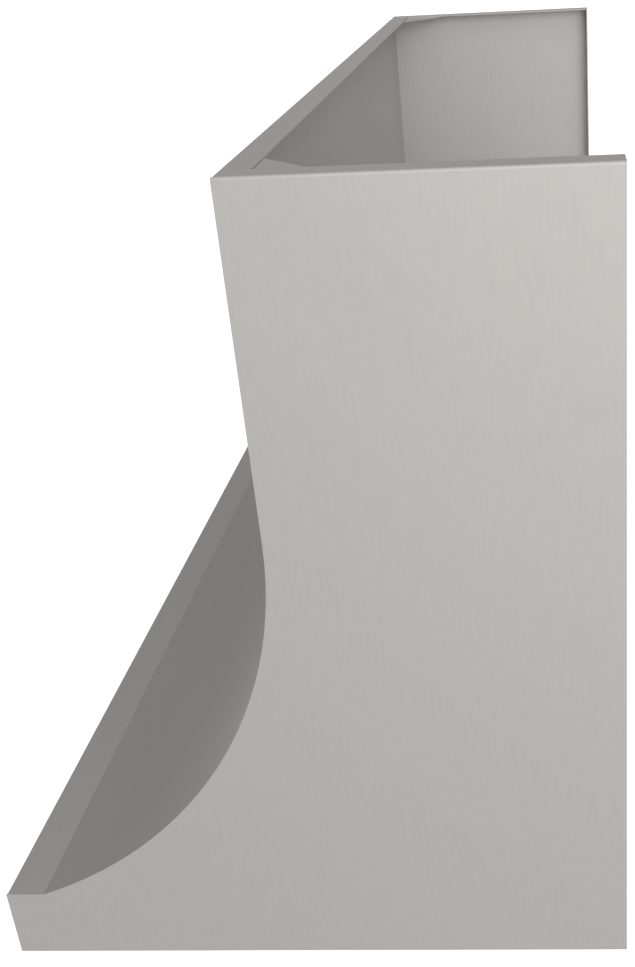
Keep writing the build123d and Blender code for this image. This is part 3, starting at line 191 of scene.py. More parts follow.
def group(
    name: str, inputs: dict[str, object], outputs: tuple[str, ...]
) -> tuple[bpy.types.NodeTree, Tree, bpy.types.Node, bpy.types.Node]:
    """Empty shader node group with its sockets.

    Args:
        name: Name of the group.
        inputs: Default value of each input by name; a tuple of three makes a vector input.
        outputs: Names of its outputs, which are all plain values.

    Returns:
        The group, a Tree on it, its input node and its output node.
    """
    made = bpy.data.node_groups.new(name, "ShaderNodeTree")
    for label, value in inputs.items():
        kind = "NodeSocketVector" if isinstance(value, tuple) else "NodeSocketFloat"
        made.interface.new_socket(label, in_out="INPUT", socket_type=kind).default_value = value
    for label in outputs:
        made.interface.new_socket(label, in_out="OUTPUT", socket_type="NodeSocketFloat")
    tree = Tree(made)
    return made, tree, tree.add("NodeGroupInput"), tree.add("NodeGroupOutput")


@functools.cache
def brushed_grain() -> bpy.types.NodeTree:
    """Group for brushed sheet, noise on the vector times Stretch, and for streaks times Short.

    Height is fine lines + share x coarse lines, and Tone is the mean of both.

    Returns:
        The group.
    """
    coarse_share = 0.35
    inputs = {"Vector": (0.0, 0.0, 0.0), "Stretch": WHITE, "Short": WHITE}
    made, tree, given, out = group("brushed_grain", inputs, ("Height", "Tone", "Streak"))
    along, brief = (
        tree.add("VectorMath", {"operation": "MULTIPLY"}, i0=given.outputs["Vector"], i1=factor).outputs[0]
        for factor in given.outputs[1:3]
    )
    fine = tree.noise(along, scale=2600.0, detail=3.0)
    coarse = tree.noise(along, scale=420.0, detail=2.0)
    tone = tree.math("MULTIPLY", tree.math("ADD", fine, coarse), 0.5)
    streak = tree.noise(brief, scale=300.0, detail=2.0)
    tree.feed(out, Height=tree.math("MULTIPLY_ADD", coarse, coarse_share, fine), Tone=tone, Streak=streak)
    return made


@functools.cache
def handling_marks() -> bpy.types.NodeTree:
    """Group for faint smudges, where cloud noise x smudge noise rises above Level.

    Returns:
        The group.
    """
    fade = 0.25
    made, tree, given, out = group("handling_marks", {"Vector": (0.0, 0.0, 0.0), "Level": 0.5}, ("Mask",))
    cloud = tree.noise(given.outputs["Vector"], scale=5.0, detail=3.0)
    smudge = tree.noise(given.outputs["Vector"], scale=38.0, detail=4.0)
    over = tree.math("SUBTRACT", tree.math("MULTIPLY", cloud, smudge), given.outputs["Level"])
    tree.feed(out, Mask=tree.add("MapRange", Value=over, From_Max=fade).outputs[0])
    return made


@functools.cache
def zinc_spangle() -> bpy.types.NodeTree:
    """Group for galvanised sheet: cells of even tone with feathering over them.

    Tone is feathering share x feathering + the rest x cell, and Height is relief x feathering + cell.

    Returns:
        The group.
    """
    share, relief = 0.35, 0.3
    inputs = {"Vector": (0.0, 0.0, 0.0), "Scale": 90.0}
    made, tree, given, out = group("zinc_spangle", inputs, ("Height", "Tone"))
    cells = tree.add("TexVoronoi", Vector=given.outputs["Vector"], Scale=given.outputs["Scale"])
    cell = tree.add("SeparateColor", Color=cells.outputs["Color"]).outputs[0]
    feather = tree.noise(given.outputs["Vector"], scale=900.0, detail=4.0)
    tone = tree.math("MULTIPLY_ADD", feather, share, tree.math("MULTIPLY", cell, 1 - share))
    tree.feed(out, Tone=tone, Height=tree.math("MULTIPLY_ADD", feather, relief, cell))
    return made


@functools.cache
def moulding_grain() -> bpy.types.NodeTree:
    """Group for moulded or plated surfaces: fine pebbling by Scale and a slow change of tone.

    Returns:
        The group.
    """
    inputs = {"Vector": (0.0, 0.0, 0.0), "Scale": 1200.0}
    made, tree, given, out = group("moulding_grain", inputs, ("Height", "Tone"))
    pebbles = tree.noise(given.outputs["Vector"], given.outputs["Scale"], detail=3.0)
    tree.feed(out, Height=pebbles, Tone=tree.noise(given.outputs["Vector"], scale=30.0, detail=3.0))
    return made


@dataclass(frozen=True)
class Finish:
    """Finish of a surface, whose material is made once."""

    name: str

    @functools.cache
    def material(self) -> bpy.types.Material:
        """Material with one Principled shader, fed by the finish's own kind.

        Returns:
            The material.
        """
        material = bpy.data.materials.new(self.name)
        tree = Tree.emptied(material)
        shader = tree.add("BsdfPrincipled")
        tree.add("OutputMaterial", Surface=shader.outputs[0])
        self.feed(tree, shader)
        return material

    def feed(self, tree: Tree, shader: bpy.types.Node) -> None:
        """Feeds the shader, in a way that each kind of finish has for itself."""
        raise NotImplementedError


@dataclass(frozen=True)
class BrushedSteel(Finish):
    """Satin stainless steel, brushed in one direction, with faint marks of handling."""

    colour: Triple = (0.40, 0.384, 0.371)
    roughness: Pair = (0.62, 0.74)
    grain: Grain = Grain.ALONG_WIDTH
    depth: float = 0.02 * MM
    stretch: float = 0.012
    short: float = 0.16
    contrast: float = 0.05
    streaks: float = 0.036
    marks_level: float = 0.26
    marks: float = 0.03

    def feed(self, tree: Tree, shader: bpy.types.Node) -> None:
        """Streaks in colour, roughness and height along the grain.

        Args:
            tree: Where the nodes go.
            shader: The shader.
        """
        coordinates, axis = self.grain.value
        source = tree.add("TexCoord").outputs[coordinates]
        stretch, short = list(WHITE), list(WHITE)
        stretch[axis], short[axis] = self.stretch, self.short
        grain = tree.add(
            "Group", {"node_tree": brushed_grain()}, Vector=source, Stretch=tuple(stretch), Short=tuple(short)
        )
        marks = tree.add("Group", {"node_tree": handling_marks()}, Vector=source, Level=self.marks_level)
        rough = tree.spread(grain.outputs["Tone"], *self.roughness)
        tone = tree.spread(grain.outputs["Tone"], 1 - self.contrast, 1 + self.contrast)
        streak = tree.spread(grain.outputs["Streak"], 1 - self.streaks, 1 + self.streaks)
        tree.feed(
            shader,
            Base_Color=tree.shade(self.colour, tree.math("MULTIPLY", tone, streak)),
            Roughness=tree.math("MULTIPLY_ADD", marks.outputs["Mask"], self.marks, rough),
            Metallic=1.0,
            Normal=tree.bump(grain.outputs["Height"], self.depth),
        )


@dataclass(frozen=True)
class GalvanisedSheet(Finish):
    """Hot-dip galvanised sheet with its spangle."""

    colour: Triple = (0.50, 0.51, 0.52)
    scale: float = 90.0
    tone: Pair = (0.82, 1.12)
    roughness: Pair = (0.34, 0.52)
    metallic: float = 0.9
    depth: float = 0.02 * MM
    marks_level: float = 0.24
    marks: float = 0.15

    def feed(self, tree: Tree, shader: bpy.types.Node) -> None:
        """Cells that differ in tone and roughness.

        Args:
            tree: Where the nodes go.
            shader: The shader.
        """
        source = tree.add("TexCoord").outputs["Object"]
        cells = tree.add("Group", {"node_tree": zinc_spangle()}, Vector=source, Scale=self.scale)
        marks = tree.add("Group", {"node_tree": handling_marks()}, Vector=source, Level=self.marks_level)
        rough = tree.spread(cells.outputs["Tone"], *self.roughness)
        tree.feed(
            shader,
            Base_Color=tree.shade(self.colour, tree.spread(cells.outputs["Tone"], *self.tone)),
            Roughness=tree.math("MULTIPLY_ADD", marks.outputs["Mask"], self.marks, rough),
            Metallic=self.metallic,
            Normal=tree.bump(cells.outputs["Height"], self.depth),
        )


@dataclass(frozen=True)
class Pebbled(Finish):
    """Surface with a fine pebbled skin, whose kinds differ in numbers alone."""

    colour: Triple
    roughness: Pair
    scale: float
    tone: Pair
    depth: float
    rough_by: str = "Height"
    metallic: float = 0.0
    coat: float = 0.0
    transmission: float = 0.0

    def feed(self, tree: Tree, shader: bpy.types.Node) -> None:
        """Pebbling in height, and changes of tone and roughness.

        Args:
            tree: Where the nodes go.
            shader: The shader.
        """
        source = tree.add("TexCoord").outputs["Object"]
        grain = tree.add("Group", {"node_tree": moulding_grain()}, Vector=source, Scale=self.scale)
        tree.feed(
            shader,
            Base_Color=tree.shade(self.colour, tree.spread(grain.outputs["Tone"], *self.tone)),
            Roughness=tree.spread(grain.outputs[self.rough_by], *self.roughness),
            Metallic=self.metallic,
            Coat_Weight=self.coat,
            Transmission_Weight=self.transmission,
            Normal=tree.bump(grain.outputs["Height"], self.depth),
        )


@dataclass(frozen=True)
class PlatedSteel(Pebbled):
    """Bright zinc-plated steel of screws, magnets, rod and shaft."""

    colour: Triple = (0.60, 0.60, 0.58)
    roughness: Pair = (0.22, 0.34)
    scale: float = 1800.0
    tone: Pair = (0.9, 1.06)
    depth: float = 0.01 * MM
    metallic: float = 1.0


@dataclass(frozen=True)
class Moulded(Pebbled):
    """Plastic, rubber or enamel, whose roughness follows its tone."""

    roughness: Pair = (0.42, 0.56)
    scale: float = 1200.0
    tone: Pair = (0.8, 1.2)
    depth: float = 0.03 * MM
    rough_by: str = "Tone"


@dataclass(frozen=True)
class FrostedGlass(Pebbled):
    """Sand-blasted glass of the lamp lenses."""

    colour: Triple = (0.93, 0.93, 0.90)
    roughness: Pair = (0.3, 0.5)
    scale: float = 2500.0
    tone: Pair = (0.96, 1.0)
    depth: float = 0.02 * MM
    transmission: float = 0.7


GALVANISED = GalvanisedSheet("galvanised")
PLATED = PlatedSteel("plated")


def arc(centre: Pair, radius: float, start: float, end: float, steps: int) -> np.ndarray:
    """Points of a circular arc, centre + radius x (cos angle, sin angle).

    Args:
        centre: Centre of the arc.
        radius: Radius of the arc.
        start: First angle in degrees.
        end: Last angle in degrees.
        steps: Number of steps between the two.

    Returns:
        An array of steps + 1 points.
    """
    angles = np.radians(np.linspace(start, end, steps + 1))
    return np.asarray(centre) + radius * np.stack([np.cos(angles), np.sin(angles)], axis=1)


def unit(headings: np.ndarray) -> np.ndarray:
    """Directions brought to a length of one."""
    return headings / np.linalg.norm(headings, axis=1, keepdims=True)


def left_of(headings: np.ndarray) -> np.ndarray:
    """Directions turned a quarter turn to the left."""
    return np.stack([-headings[..., 1], headings[..., 0]], axis=-1)


def folded(corners: list[Pair], sheet: float, bend: float, steps: int = 5, mitre: int = 0) -> Faces:
    """Both faces of a folded sheet in its section.

    The first face runs through the corners, rounded by arcs, and the second lies to its left by the
    sheet's thickness. A bend has its inner radius on whichever face is inside the turn. At a mitre
    both faces have one point, where the sum of both directions to the left, over 1 + cosine of the
    turn, leads from one face to the other.

    Args:
        corners: Corners of the first face before rounding.
        sheet: Thickness of the sheet.
        bend: Inner radius of each bend.
        steps: Number of steps in each bend.
        mitre: Which corner is a sharp mitre; none where it is nought.

    Returns:
        The points of the first face and those of the second, with the same number of points.
    """
    points = np.asarray(corners, float)
    headings = unit(np.diff(points, axis=0))
    first, normals = [points[:1]], [left_of(headings[:1])]
    for index, (corner, before, after) in enumerate(zip(points[1:-1], headings[:-1], headings[1:]), 1):
        if index == mitre:
            first.append(corner[None])
            normals.append((left_of(before) + left_of(after))[None] / (1 + before @ after))
            continue
        cross = before[0] * after[1] - before[1] * after[0]
        turn = math.atan2(cross, float(before @ after))
        way = math.copysign(1.0, turn)
        radius = bend + sheet if way > 0 else bend
        start = corner - before * radius * math.tan(abs(turn) / 2)
        angles = np.linspace(0.0, turn, steps + 1)[:, None]
        left = left_of(before)
        normal = left * np.cos(angles) - before * np.sin(angles)
        first.append(start + way * radius * (left - normal))
        normals.append(normal)
    first.append(points[-1:])
    normals.append(left_of(headings[-1:]))
    path = np.concatenate(first)
    return path, path + sheet * np.concatenate(normals)


def closed_loop(first: np.ndarray, second: np.ndarray) -> np.ndarray:
    """Outline that runs along one face of a sheet and back along the other to its start."""
    return np.concatenate([first, second[::-1], first[:1]])


def turned(angle: float) -> np.ndarray:
    """Matrix that turns rows of flat points by an angle, ((cos, sin), (-sin, cos))."""
    return np.array([[math.cos(angle), math.sin(angle)], [-math.sin(angle), math.cos(angle)]])


def at_depth(points: np.ndarray, y: float) -> np.ndarray:
    """Points (x, z) of an upright section, put at one depth y of the model."""
    return np.column_stack([points[:, 0], np.full(len(points), y), points[:, 1]])


def at_height(points: np.ndarray, z: float) -> np.ndarray:
    """Points (x, y) of a level outline, put at one height z."""
    return np.column_stack([points, np.full(len(points), z)])


class Skin:
    """Collects grids of points and makes one closed mesh of them."""

    def __init__(self) -> None:
        """Starts with no grids."""
        self.points: list[np.ndarray] = []
        self.quads: list[np.ndarray] = []
        self.maps: list[np.ndarray] = []
        self.count = 0

    def grid(self, points: np.ndarray, across: np.ndarray | None = None) -> None:
        """Adds a grid with a quad between each four neighbours, mapped by the lengths of its sides.

        Args:
            points: Array of rows x columns x 3.
            across: Place of each column in the map; the distance along the middle row if left out.
        """
        rows, columns = points.shape[:2]
        down = np.linalg.norm(np.diff(points[:, columns // 2], axis=0), axis=1)
        down = np.concatenate([[0.0], np.cumsum(down)])
        if across is None:
            steps = np.linalg.norm(np.diff(points[rows // 2], axis=0), axis=1)
            across = np.concatenate([[0.0], np.cumsum(steps)])
        index = np.arange(rows * columns).reshape(rows, columns) + self.count
        quads = np.stack([index[:-1, :-1], index[1:, :-1], index[1:, 1:], index[:-1, 1:]], axis=-1)
        self.points.append(points.reshape(-1, 3))
        self.quads.append(quads.reshape(-1, 4))
        self.maps.append(np.stack(np.meshgrid(across, down), axis=-1).reshape(-1, 2))
        self.count += rows * columns

    def carry(
        self,
        faces: Faces,
        point: Callable[[np.ndarray, float], np.ndarray],
        ends: Pair,
        axis: int = 0,
        across: np.ndarray | None = None,
    ) -> None:
        """Carries the section of a sheet from one end to the other and closes both ends.

        Args:
            faces: Points of the sheet's two faces in its section.
            point: Function that puts points of the section into the model at one end.
            ends: First and last end, as that function takes them.
            axis: Which way the length runs in the map, 0 for down and 1 for across.
            across: Place of each column in the map, as grid takes it.
        """
        loop = closed_loop(*faces)
        self.grid(np.stack([point(loop, end) for end in ends], axis), across)
        for end in ends:
            self.grid(np.stack([point(face, end) for face in faces], axis))

    def lathe(self, profile: np.ndarray, origin: object, axis: object, segments: int = 48) -> None:
        """Adds a closed profile of (distance from the axis, height) pairs turned about an axis.

        A point is origin + height x axis + distance x (cos angle x side + sin angle x front).

        Args:
            profile: Array of pairs.
            origin: Point on the axis where the height is nought.
            axis: Direction of the axis.
            segments: Number of steps round the axis.
        """
        axis = np.array(Vector(axis).normalized())
        side = np.array(Vector(axis).orthogonal().normalized())
        front = np.cross(axis, side)
        angles = np.linspace(0.0, TURN, segments + 1)[:, None, None]
        outward = np.cos(angles) * side + np.sin(angles) * front
        points = profile[None, :, :1] * outward + profile[None, :, 1:] * axis
        self.grid(points + np.asarray(origin))

    def tube(self, path: np.ndarray, radius: float, across: object, segments: int = 16) -> None:
        """Adds a round bar along a flat path, with both ends closed.

        A point is path + radius x (cos angle x across + sin angle x normal), where the normal is
        square to the path's heading and to the direction across.

        Args:
            path: Array of points in one plane.
            radius: Radius of the bar.
            across: Direction square to that plane.
            segments: Number of steps round the bar.
        """
        across = np.asarray(across, float)
        normal = np.cross(across, unit(np.gradient(path, axis=0)))
        angles = np.linspace(0.0, TURN, segments + 1)[None, :, None]
        rows = path[:, None] + radius * (np.cos(angles) * across + np.sin(angles) * normal[:, None])
        start, end = (np.broadcast_to(point, rows[0].shape)[None] for point in (path[0], path[-1]))
        self.grid(np.concatenate([start, rows, end]))

    def build(self, name: str, rounding: float = 0.0) -> bpy.types.Object:
        """Makes the mesh, welded, with its faces outwards and its shallow edges smooth.

        Args:
            name: Name of the piece.
            rounding: Width of the rounding of its sharp edges; none where it is nought.

        Returns:
            The new object.
        """
        points, quads = np.concatenate(self.points), np.concatenate(self.quads)
        mesh = bpy.data.meshes.new(name)
        mesh.vertices.add(len(points))
        mesh.vertices.foreach_set("co", points.ravel())
        mesh.loops.add(quads.size)
        mesh.loops.foreach_set("vertex_index", quads.ravel())
        mesh.polygons.add(len(quads))
        mesh.polygons.foreach_set("loop_start", np.arange(0, quads.size, 4))
        mesh.update(calc_edges=True)
        layer = mesh.uv_layers.new(name="along_sheet")
        layer.data.foreach_set("uv", np.concatenate(self.maps)[quads.ravel()].ravel())
        work = bmesh.new()
        work.from_mesh(mesh)
        bmesh.ops.remove_doubles(work, verts=work.verts, dist=WELD)
        bmesh.ops.dissolve_degenerate(work, edges=work.edges, dist=WELD)
        bmesh.ops.recalc_face_normals(work, faces=work.faces)
        work.to_mesh(mesh)
        work.free()
        mesh.shade_smooth()
        mesh.set_sharp_from_angle(angle=SMOOTH_ANGLE)
        piece = bpy.data.objects.new(name, mesh)
        bpy.context.scene.collection.objects.link(piece)
        if rounding:
            bevel = piece.modifiers.new("edge_rounding", "BEVEL")
            bevel.width = rounding
            bevel.segments = 2
            bevel.limit_method = "ANGLE"
            bevel.angle_limit = ROUNDED_ANGLE
            bevel.harden_normals = True
        return piece


def place(piece: bpy.types.Object, finish: Finish, node: str, replaces: bool = True) -> None:
    """Dresses a new piece, puts it on the body of a CAD node and reports it.

    Args:
        piece: The new object.
        finish: Finish of its surface.
        node: The CAD node.
        replaces: Whether the piece also takes the node's place.
    """
    piece.data.materials.append(finish.material())
    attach(piece, frame["nodes"][node]["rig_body"])
    if replaces:
        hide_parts(node)
    LOG.info("built %s with %s", piece.name, finish.name)


def dress(nodes: list[str], finish: Finish) -> None:
    """Gives CAD nodes a finish and reports each of them.

    Args:
        nodes: Names of the nodes.
        finish: Finish of their surfaces.
    """
    for name in nodes:
        materials = frame["nodes"][name].data.materials
        materials.clear()
        materials.append(finish.material())
        LOG.info("dressed %s with %s", name, finish.name)


def node_points(node: str) -> np.ndarray:
    """Points of a CAD node's mesh.

    Args:
        node: Name of the node.

    Returns:
        An array of x, y and z.
    """
    mesh = frame["nodes"][node].data
    points = np.empty(len(mesh.vertices) * 3)
    mesh.vertices.foreach_get("co", points)
    return points.reshape(-1, 3)


def joint_place(joint: str) -> np.ndarray:
    """Point that a joint turns about, from the record."""
    found = next(entry for entry in frame["joints"] if entry["name"] == joint)
    return np.array(found["pos_m"])


@dataclass(frozen=True)
class Bank:
    """Slanted frame of a filter: along rises to the front from its hinge, above is square to it."""

    origin: np.ndarray
    angle: float = math.radians(17.0)

    def point(self, across: object, along: object, above: object) -> np.ndarray:
        """Place in the model, origin + across x X + along x rise + above x its normal.

        Args:
            across: Distances along X from the hinge's middle.
            along: Distances up the slope.
            above: Distances square to the slope.

        Returns:
            An array with one more dimension than those given, holding x, y and z.
        """
        cosine, sine = math.cos(self.angle), math.sin(self.angle)
        across, along, above = np.broadcast_arrays(across, along, above)
        points = np.stack([across, above * sine - along * cosine, along * sine + above * cosine], axis=-1)
        return points + self.origin

    def section(self, points: np.ndarray, along: float) -> np.ndarray:
        """Points (across, above) of a section, put at one distance up the slope."""
        return self.point(points[:, 0], along, points[:, 1])

    def measure(self, points: np.ndarray) -> tuple[np.ndarray, np.ndarray, np.ndarray]:
        """Distances across, along and above of points in the model, the reverse of point.

        Args:
            points: Array of x, y and z.

        Returns:
            The three distances.
        """
        cosine, sine = math.cos(self.angle), math.sin(self.angle)
        x, y, z = (points - self.origin).T
        return x, z * sine - y * cosine, y * sine + z * cosine


@dataclass
class Casing:
    """Front panel and apron with their bends, between the flat side panels and their gussets."""

    sheet: float = 1.5 * MM
    bend: float = 1.0 * MM
    flange: float = 25.4 * MM
    sweep_radius: float = 406.4 * MM
    sweep_steps: int = 72
    fold_steps: int = 6
    rounding: float = 0.25 * MM
    side: Finish = BrushedSteel("casing_side", grain=Grain.UPRIGHT)
    front: Finish = BrushedSteel("casing_front", grain=Grain.ACROSS_MAP)
    corner: Finish = BrushedSteel("casing_corner")

    def build(self) -> None:
        """Makes the two folded sheets and dresses the flat ones."""
        self.front_panel()
        self.apron()
        dress(["side_panel_right", "side_panel_left"], self.side)
        dress(["corner_gusset_right", "corner_gusset_left"], self.corner)

    def mitred(self, points: np.ndarray, width: float, y: float) -> np.ndarray:
        """Half the width, which falls over a flange by the flange's width less the sheet.

        Args:
            points: Pairs of (y, z).
            width: Half the width before the flange.
            y: Where the flange starts.

        Returns:
            Half the width at each point.
        """
        reach = [y + self.sheet, y + self.flange]
        return np.interp(points[:, 0], reach, [width, width - self.flange + self.sheet])

    def make(self, node: str, faces: Faces, half: Callable[[np.ndarray], np.ndarray]) -> None:
        """Carries a section of (y, z) pairs along X from one side to the other.

        A point is (side x half the width, y, z), where side is -1 or +1.

        Args:
            node: The CAD node that the sheet replaces.
            faces: Points of the outer and of the inner face.
            half: Function that gives half the width at each point of the section.
        """

        def point(section: np.ndarray, side: float) -> np.ndarray:
            """Points of the section at one side."""
            return np.column_stack([side * half(section), section])

        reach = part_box(node)[1].x
        skin = Skin()
        skin.carry(faces, point, (-1, 1), axis=1, across=np.array([-reach, reach]))
        place(skin.build(f"{node}_sheet", self.rounding), self.front, node)

    def front_panel(self) -> None:
        """Panel from its top flange down the neck, round the sweep and behind the apron's ledge.

        The neck and the sweep share a tangent, so the sweep's centre lies one radius before the neck
        and its height follows from the ledge, as the side of a right-angled triangle.
        """
        low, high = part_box("front_panel")
        ledge_y, neck_y = low.y, high.y - self.flange
        ledge_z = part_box("apron")[1].z
        centre_y = neck_y - self.sweep_radius
        centre_z = ledge_z + math.sqrt(self.sweep_radius**2 - (ledge_y - centre_y) ** 2)
        corner = self.sheet + self.bend
        fold = (neck_y + corner, high.z - corner)
        faces = []
        for inset in (0.0, self.sheet):
            radius = self.sweep_radius + inset
            last = math.degrees(math.acos((ledge_y + inset - centre_y) / radius))
            stretches = [
                np.array([[high.y, high.z - inset]]),
                arc(fold, corner - inset, 90, 180, self.fold_steps),
                arc((centre_y, centre_z), radius, 0, -last, self.sweep_steps),
                np.array([[ledge_y + inset, low.z]]),
            ]
            faces.append(np.concatenate(stretches))

        def half(points: np.ndarray) -> np.ndarray:
            """Half the width, which narrows over the top flange to make a mitre."""
            return self.mitred(points, high.x, neck_y)

        self.make("front_panel", tuple(faces), half)

    def apron(self) -> None:
        """Apron from its tab behind the front panel over the ledge and down to the bottom return.

        The ledge meets the sweep at a mitre, so that no groove shows between the two sheets.
        """
        low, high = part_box("apron")
        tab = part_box("front_panel")[0].z
        back = low.y + self.flange
        corners = [(high.y, tab), (high.y, high.z), (low.y, high.z), (low.y, 0.0), (back, 0.0)]
        faces = folded(corners, self.sheet, self.bend, self.fold_steps, mitre=1)

        def half(points: np.ndarray) -> np.ndarray:
            """Half the width, which narrows over the bottom return to make a mitre."""
            return np.where(points[:, 1] <= self.sheet + WELD, self.mitred(points, high.x, low.y), high.x)

        self.make("apron", faces, half)


@dataclass
class Filters:
    """Baffle filters: channel frames with pins and lugs, two rows of baffles and bail handles."""

    count: int = 4
    wall: float = 1.0 * MM
    bend: float = 0.8 * MM
    lip: float = 12.0 * MM
    half_thickness: float = 10.0 * MM
    rounding: float = 0.2 * MM
    pin_radius: float = 3.0 * MM
    pin_segments: int = 24
    lug_inner: float = 39.0 * MM
    lug_outer: float = 42.0 * MM
    lug_radius: float = 4.0 * MM
    lug_steps: int = 48
    wire_radius: float = 2.0 * MM
    wire_gap: float = 0.05 * MM
    handle_half: float = 32.0 * MM
    handle_length: float = 28.0 * MM
    handle_bend: float = 6.0 * MM
    head_size: float = 1.4
    head_crown: float = 0.7
    head_levels: tuple[float, ...] = (0.1, 0.1, 0.6, 1.0, 1.0)
    head_segments: int = 16
    slats: int = 8
    slat_pitch: float = 34.0 * MM
    slat_width: float = 26.0 * MM
    slat_height: float = 7.0 * MM
    slat_sheet: float = 0.8 * MM
    slat_fold_steps: int = 3
    steel: Finish = BrushedSteel("filter_steel", grain=Grain.DOWN_MAP)

    def build(self) -> None:
        """Makes the pieces of every filter and dresses the magnets."""
        for number in range(1, self.count + 1):
            bank = Bank(joint_place(f"filter_{number}_hinge"))
            self.channel_frame(number, bank)
            self.baffles(number, bank)
            self.handle(number)
        dress(["filter_magnets"], PLATED)

    def channel_frame(self, number: int, bank: Bank) -> None:
        """Channel carried round a rectangle with mitred corners, with its two pins and two lugs.

        A point is corner + inset x inward diagonal, at its own height above the slope.

        Args:
            number: Which filter.
            bank: Its slanted frame.
        """
        across, along, above = bank.measure(node_points(f"filter_frame_{number}"))
        half = across[above > self.half_thickness - WELD].max()
        bottom, top = along.min(), along.max()
        edge = self.half_thickness
        corners = [(self.lip, edge), (0.0, edge), (0.0, -edge), (self.lip, -edge)]
        inset, level = closed_loop(*folded(corners, self.wall, self.bend)).T
        x = half * np.array([-1, 1, 1, -1, -1])[:, None]
        y = np.array([bottom, bottom, top, top, bottom])[:, None]
        inward_x = np.array([1, -1, -1, 1, 1])[:, None]
        inward_y = np.array([1, 1, -1, -1, 1])[:, None]
        skin = Skin()
        skin.grid(bank.point(x + inset * inward_x, y + inset * inward_y, level[None, :]))
        for side, tip in ((-1, across.min()), (1, across.max())):
            self.pin(skin, bank.origin, side, half - self.wall, abs(tip))
        self.lugs(skin, bank, bank.measure(joint_place(f"handle_{number}_pivot")[None]))
        piece = skin.build(f"filter_frame_{number}_channel", self.rounding)
        place(piece, self.steel, f"filter_frame_{number}")

    def pin(self, skin: Skin, hinge: np.ndarray, side: int, start: float, tip: float) -> None:
        """Hinge pin with a chamfered tip.

        Args:
            skin: Where the grid goes.
            hinge: Middle of the hinge.
            side: 1 for the right end of the frame and -1 for the left.
            start: Distance of its root from that middle.
            tip: Distance of its tip.
        """
        length, chamfer = tip - start, self.pin_radius / 4
        radii = [0, self.pin_radius, self.pin_radius, self.pin_radius - chamfer, 0]
        heights = [0, 0, length - chamfer, length, length]
        origin = hinge + np.array([side * start, 0.0, 0.0])
        skin.lathe(np.column_stack([radii, heights]), origin, (side, 0, 0), self.pin_segments)

    def lugs(self, skin: Skin, bank: Bank, pivot: tuple[np.ndarray, ...]) -> None:
        """Two ears round the handle's pivot, half round below and straight up to the frame above.

        The outline's distance from the pivot is the radius below it, and above it the nearer of the
        side, radius / |cos angle|, and the frame, rise / sin angle. Neither is divided by less than the
        smallest share.

        Args:
            skin: Where the grids go.
            bank: The filter's slanted frame.
            pivot: Distances across, along and above of the pivot.
        """
        _, (along,), (above,) = pivot
        angles = np.linspace(-np.pi, np.pi, self.lug_steps + 1)
        cosines, sines = np.cos(angles), np.sin(angles)
        smallest = 0.01
        rise = -self.half_thickness + self.wall / 2 - above
        side = self.lug_radius / np.maximum(np.abs(cosines), smallest)
        frame_side = rise / np.maximum(sines, smallest)
        edge = np.where(angles > 0, np.minimum(side, frame_side), self.lug_radius)
        bore = np.full_like(edge, self.wire_radius + self.wire_gap)
        for way in (-1, 1):
            near, far = way * self.lug_inner, way * self.lug_outer
            rings = [(bore, near), (edge, near), (edge, far), (bore, far), (bore, near)]
            rows = [
                bank.point(level, along + radius * cosines, above + radius * sines) for radius, level in rings
            ]
            skin.grid(np.stack(rows))

    def baffles(self, number: int, bank: Bank) -> None:
        """Two rows of channels that face each other half a pitch apart, on two cross strips.

        Args:
            number: Which filter.
            bank: Its slanted frame.
        """
        _, along, above = bank.measure(node_points(f"filter_baffles_{number}"))
        low, high = along.min(), along.max()
        skin = Skin()
        for row, base, way in ((self.slats, above.min(), 1), (self.slats - 1, above.max(), -1)):
            half = way * self.slat_width / 2
            tip = base + way * self.slat_height
            for middle in (np.arange(row) - (row - 1) / 2) * self.slat_pitch:
                start, end = middle - half, middle + half
                corners = [(start, tip), (start, base), (end, base), (end, tip)]
                faces = folded(corners, self.slat_sheet, self.bend, self.slat_fold_steps)
                skin.carry(faces, bank.section, (low, high))
        reach = ((self.slats - 1) * self.slat_pitch + self.slat_width) / 2
        level = above.max() - self.slat_height
        strip = folded([(-reach, -level), (reach, -level)], 2 * level, self.bend)
        strip_width = self.lip / 2
        for start in (low, high - strip_width):
            skin.carry(strip, bank.section, (start, start + strip_width))
        piece = skin.build(f"filter_baffles_{number}_channels")
        place(piece, self.steel, f"filter_baffles_{number}")

    def handle(self, number: int) -> None:
        """Bail of round wire with peened ends, hung in the lugs.

        Args:
            number: Which filter.
        """
        pivot = joint_place(f"handle_{number}_pivot")
        low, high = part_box(f"filter_handle_{number}")
        half, drop = self.handle_half, self.handle_length
        corners = [(low.x - pivot[0], 0.0), (-half, 0.0), (-half, -drop)]
        corners += [(-across, level) for across, level in reversed(corners)]
        path, _ = folded(corners, 0.0, self.handle_bend)
        skin = Skin()
        skin.tube(pivot + at_depth(path, 0.0), self.wire_radius, (0, 1, 0))
        head = self.head_size * self.wire_radius
        depth = (high.x - low.x) / 2 - self.lug_outer
        radii = np.array([0.0, head, head, self.head_crown * head, 0.0])
        heights = np.array(self.head_levels) * depth
        for side in (-1, 1):
            origin = pivot + np.array([side * self.lug_outer, 0.0, 0.0])
            skin.lathe(np.column_stack([radii, heights]), origin, (side, 0, 0), self.head_segments)
        place(skin.build(f"filter_handle_{number}_wire"), self.steel, f"filter_handle_{number}")


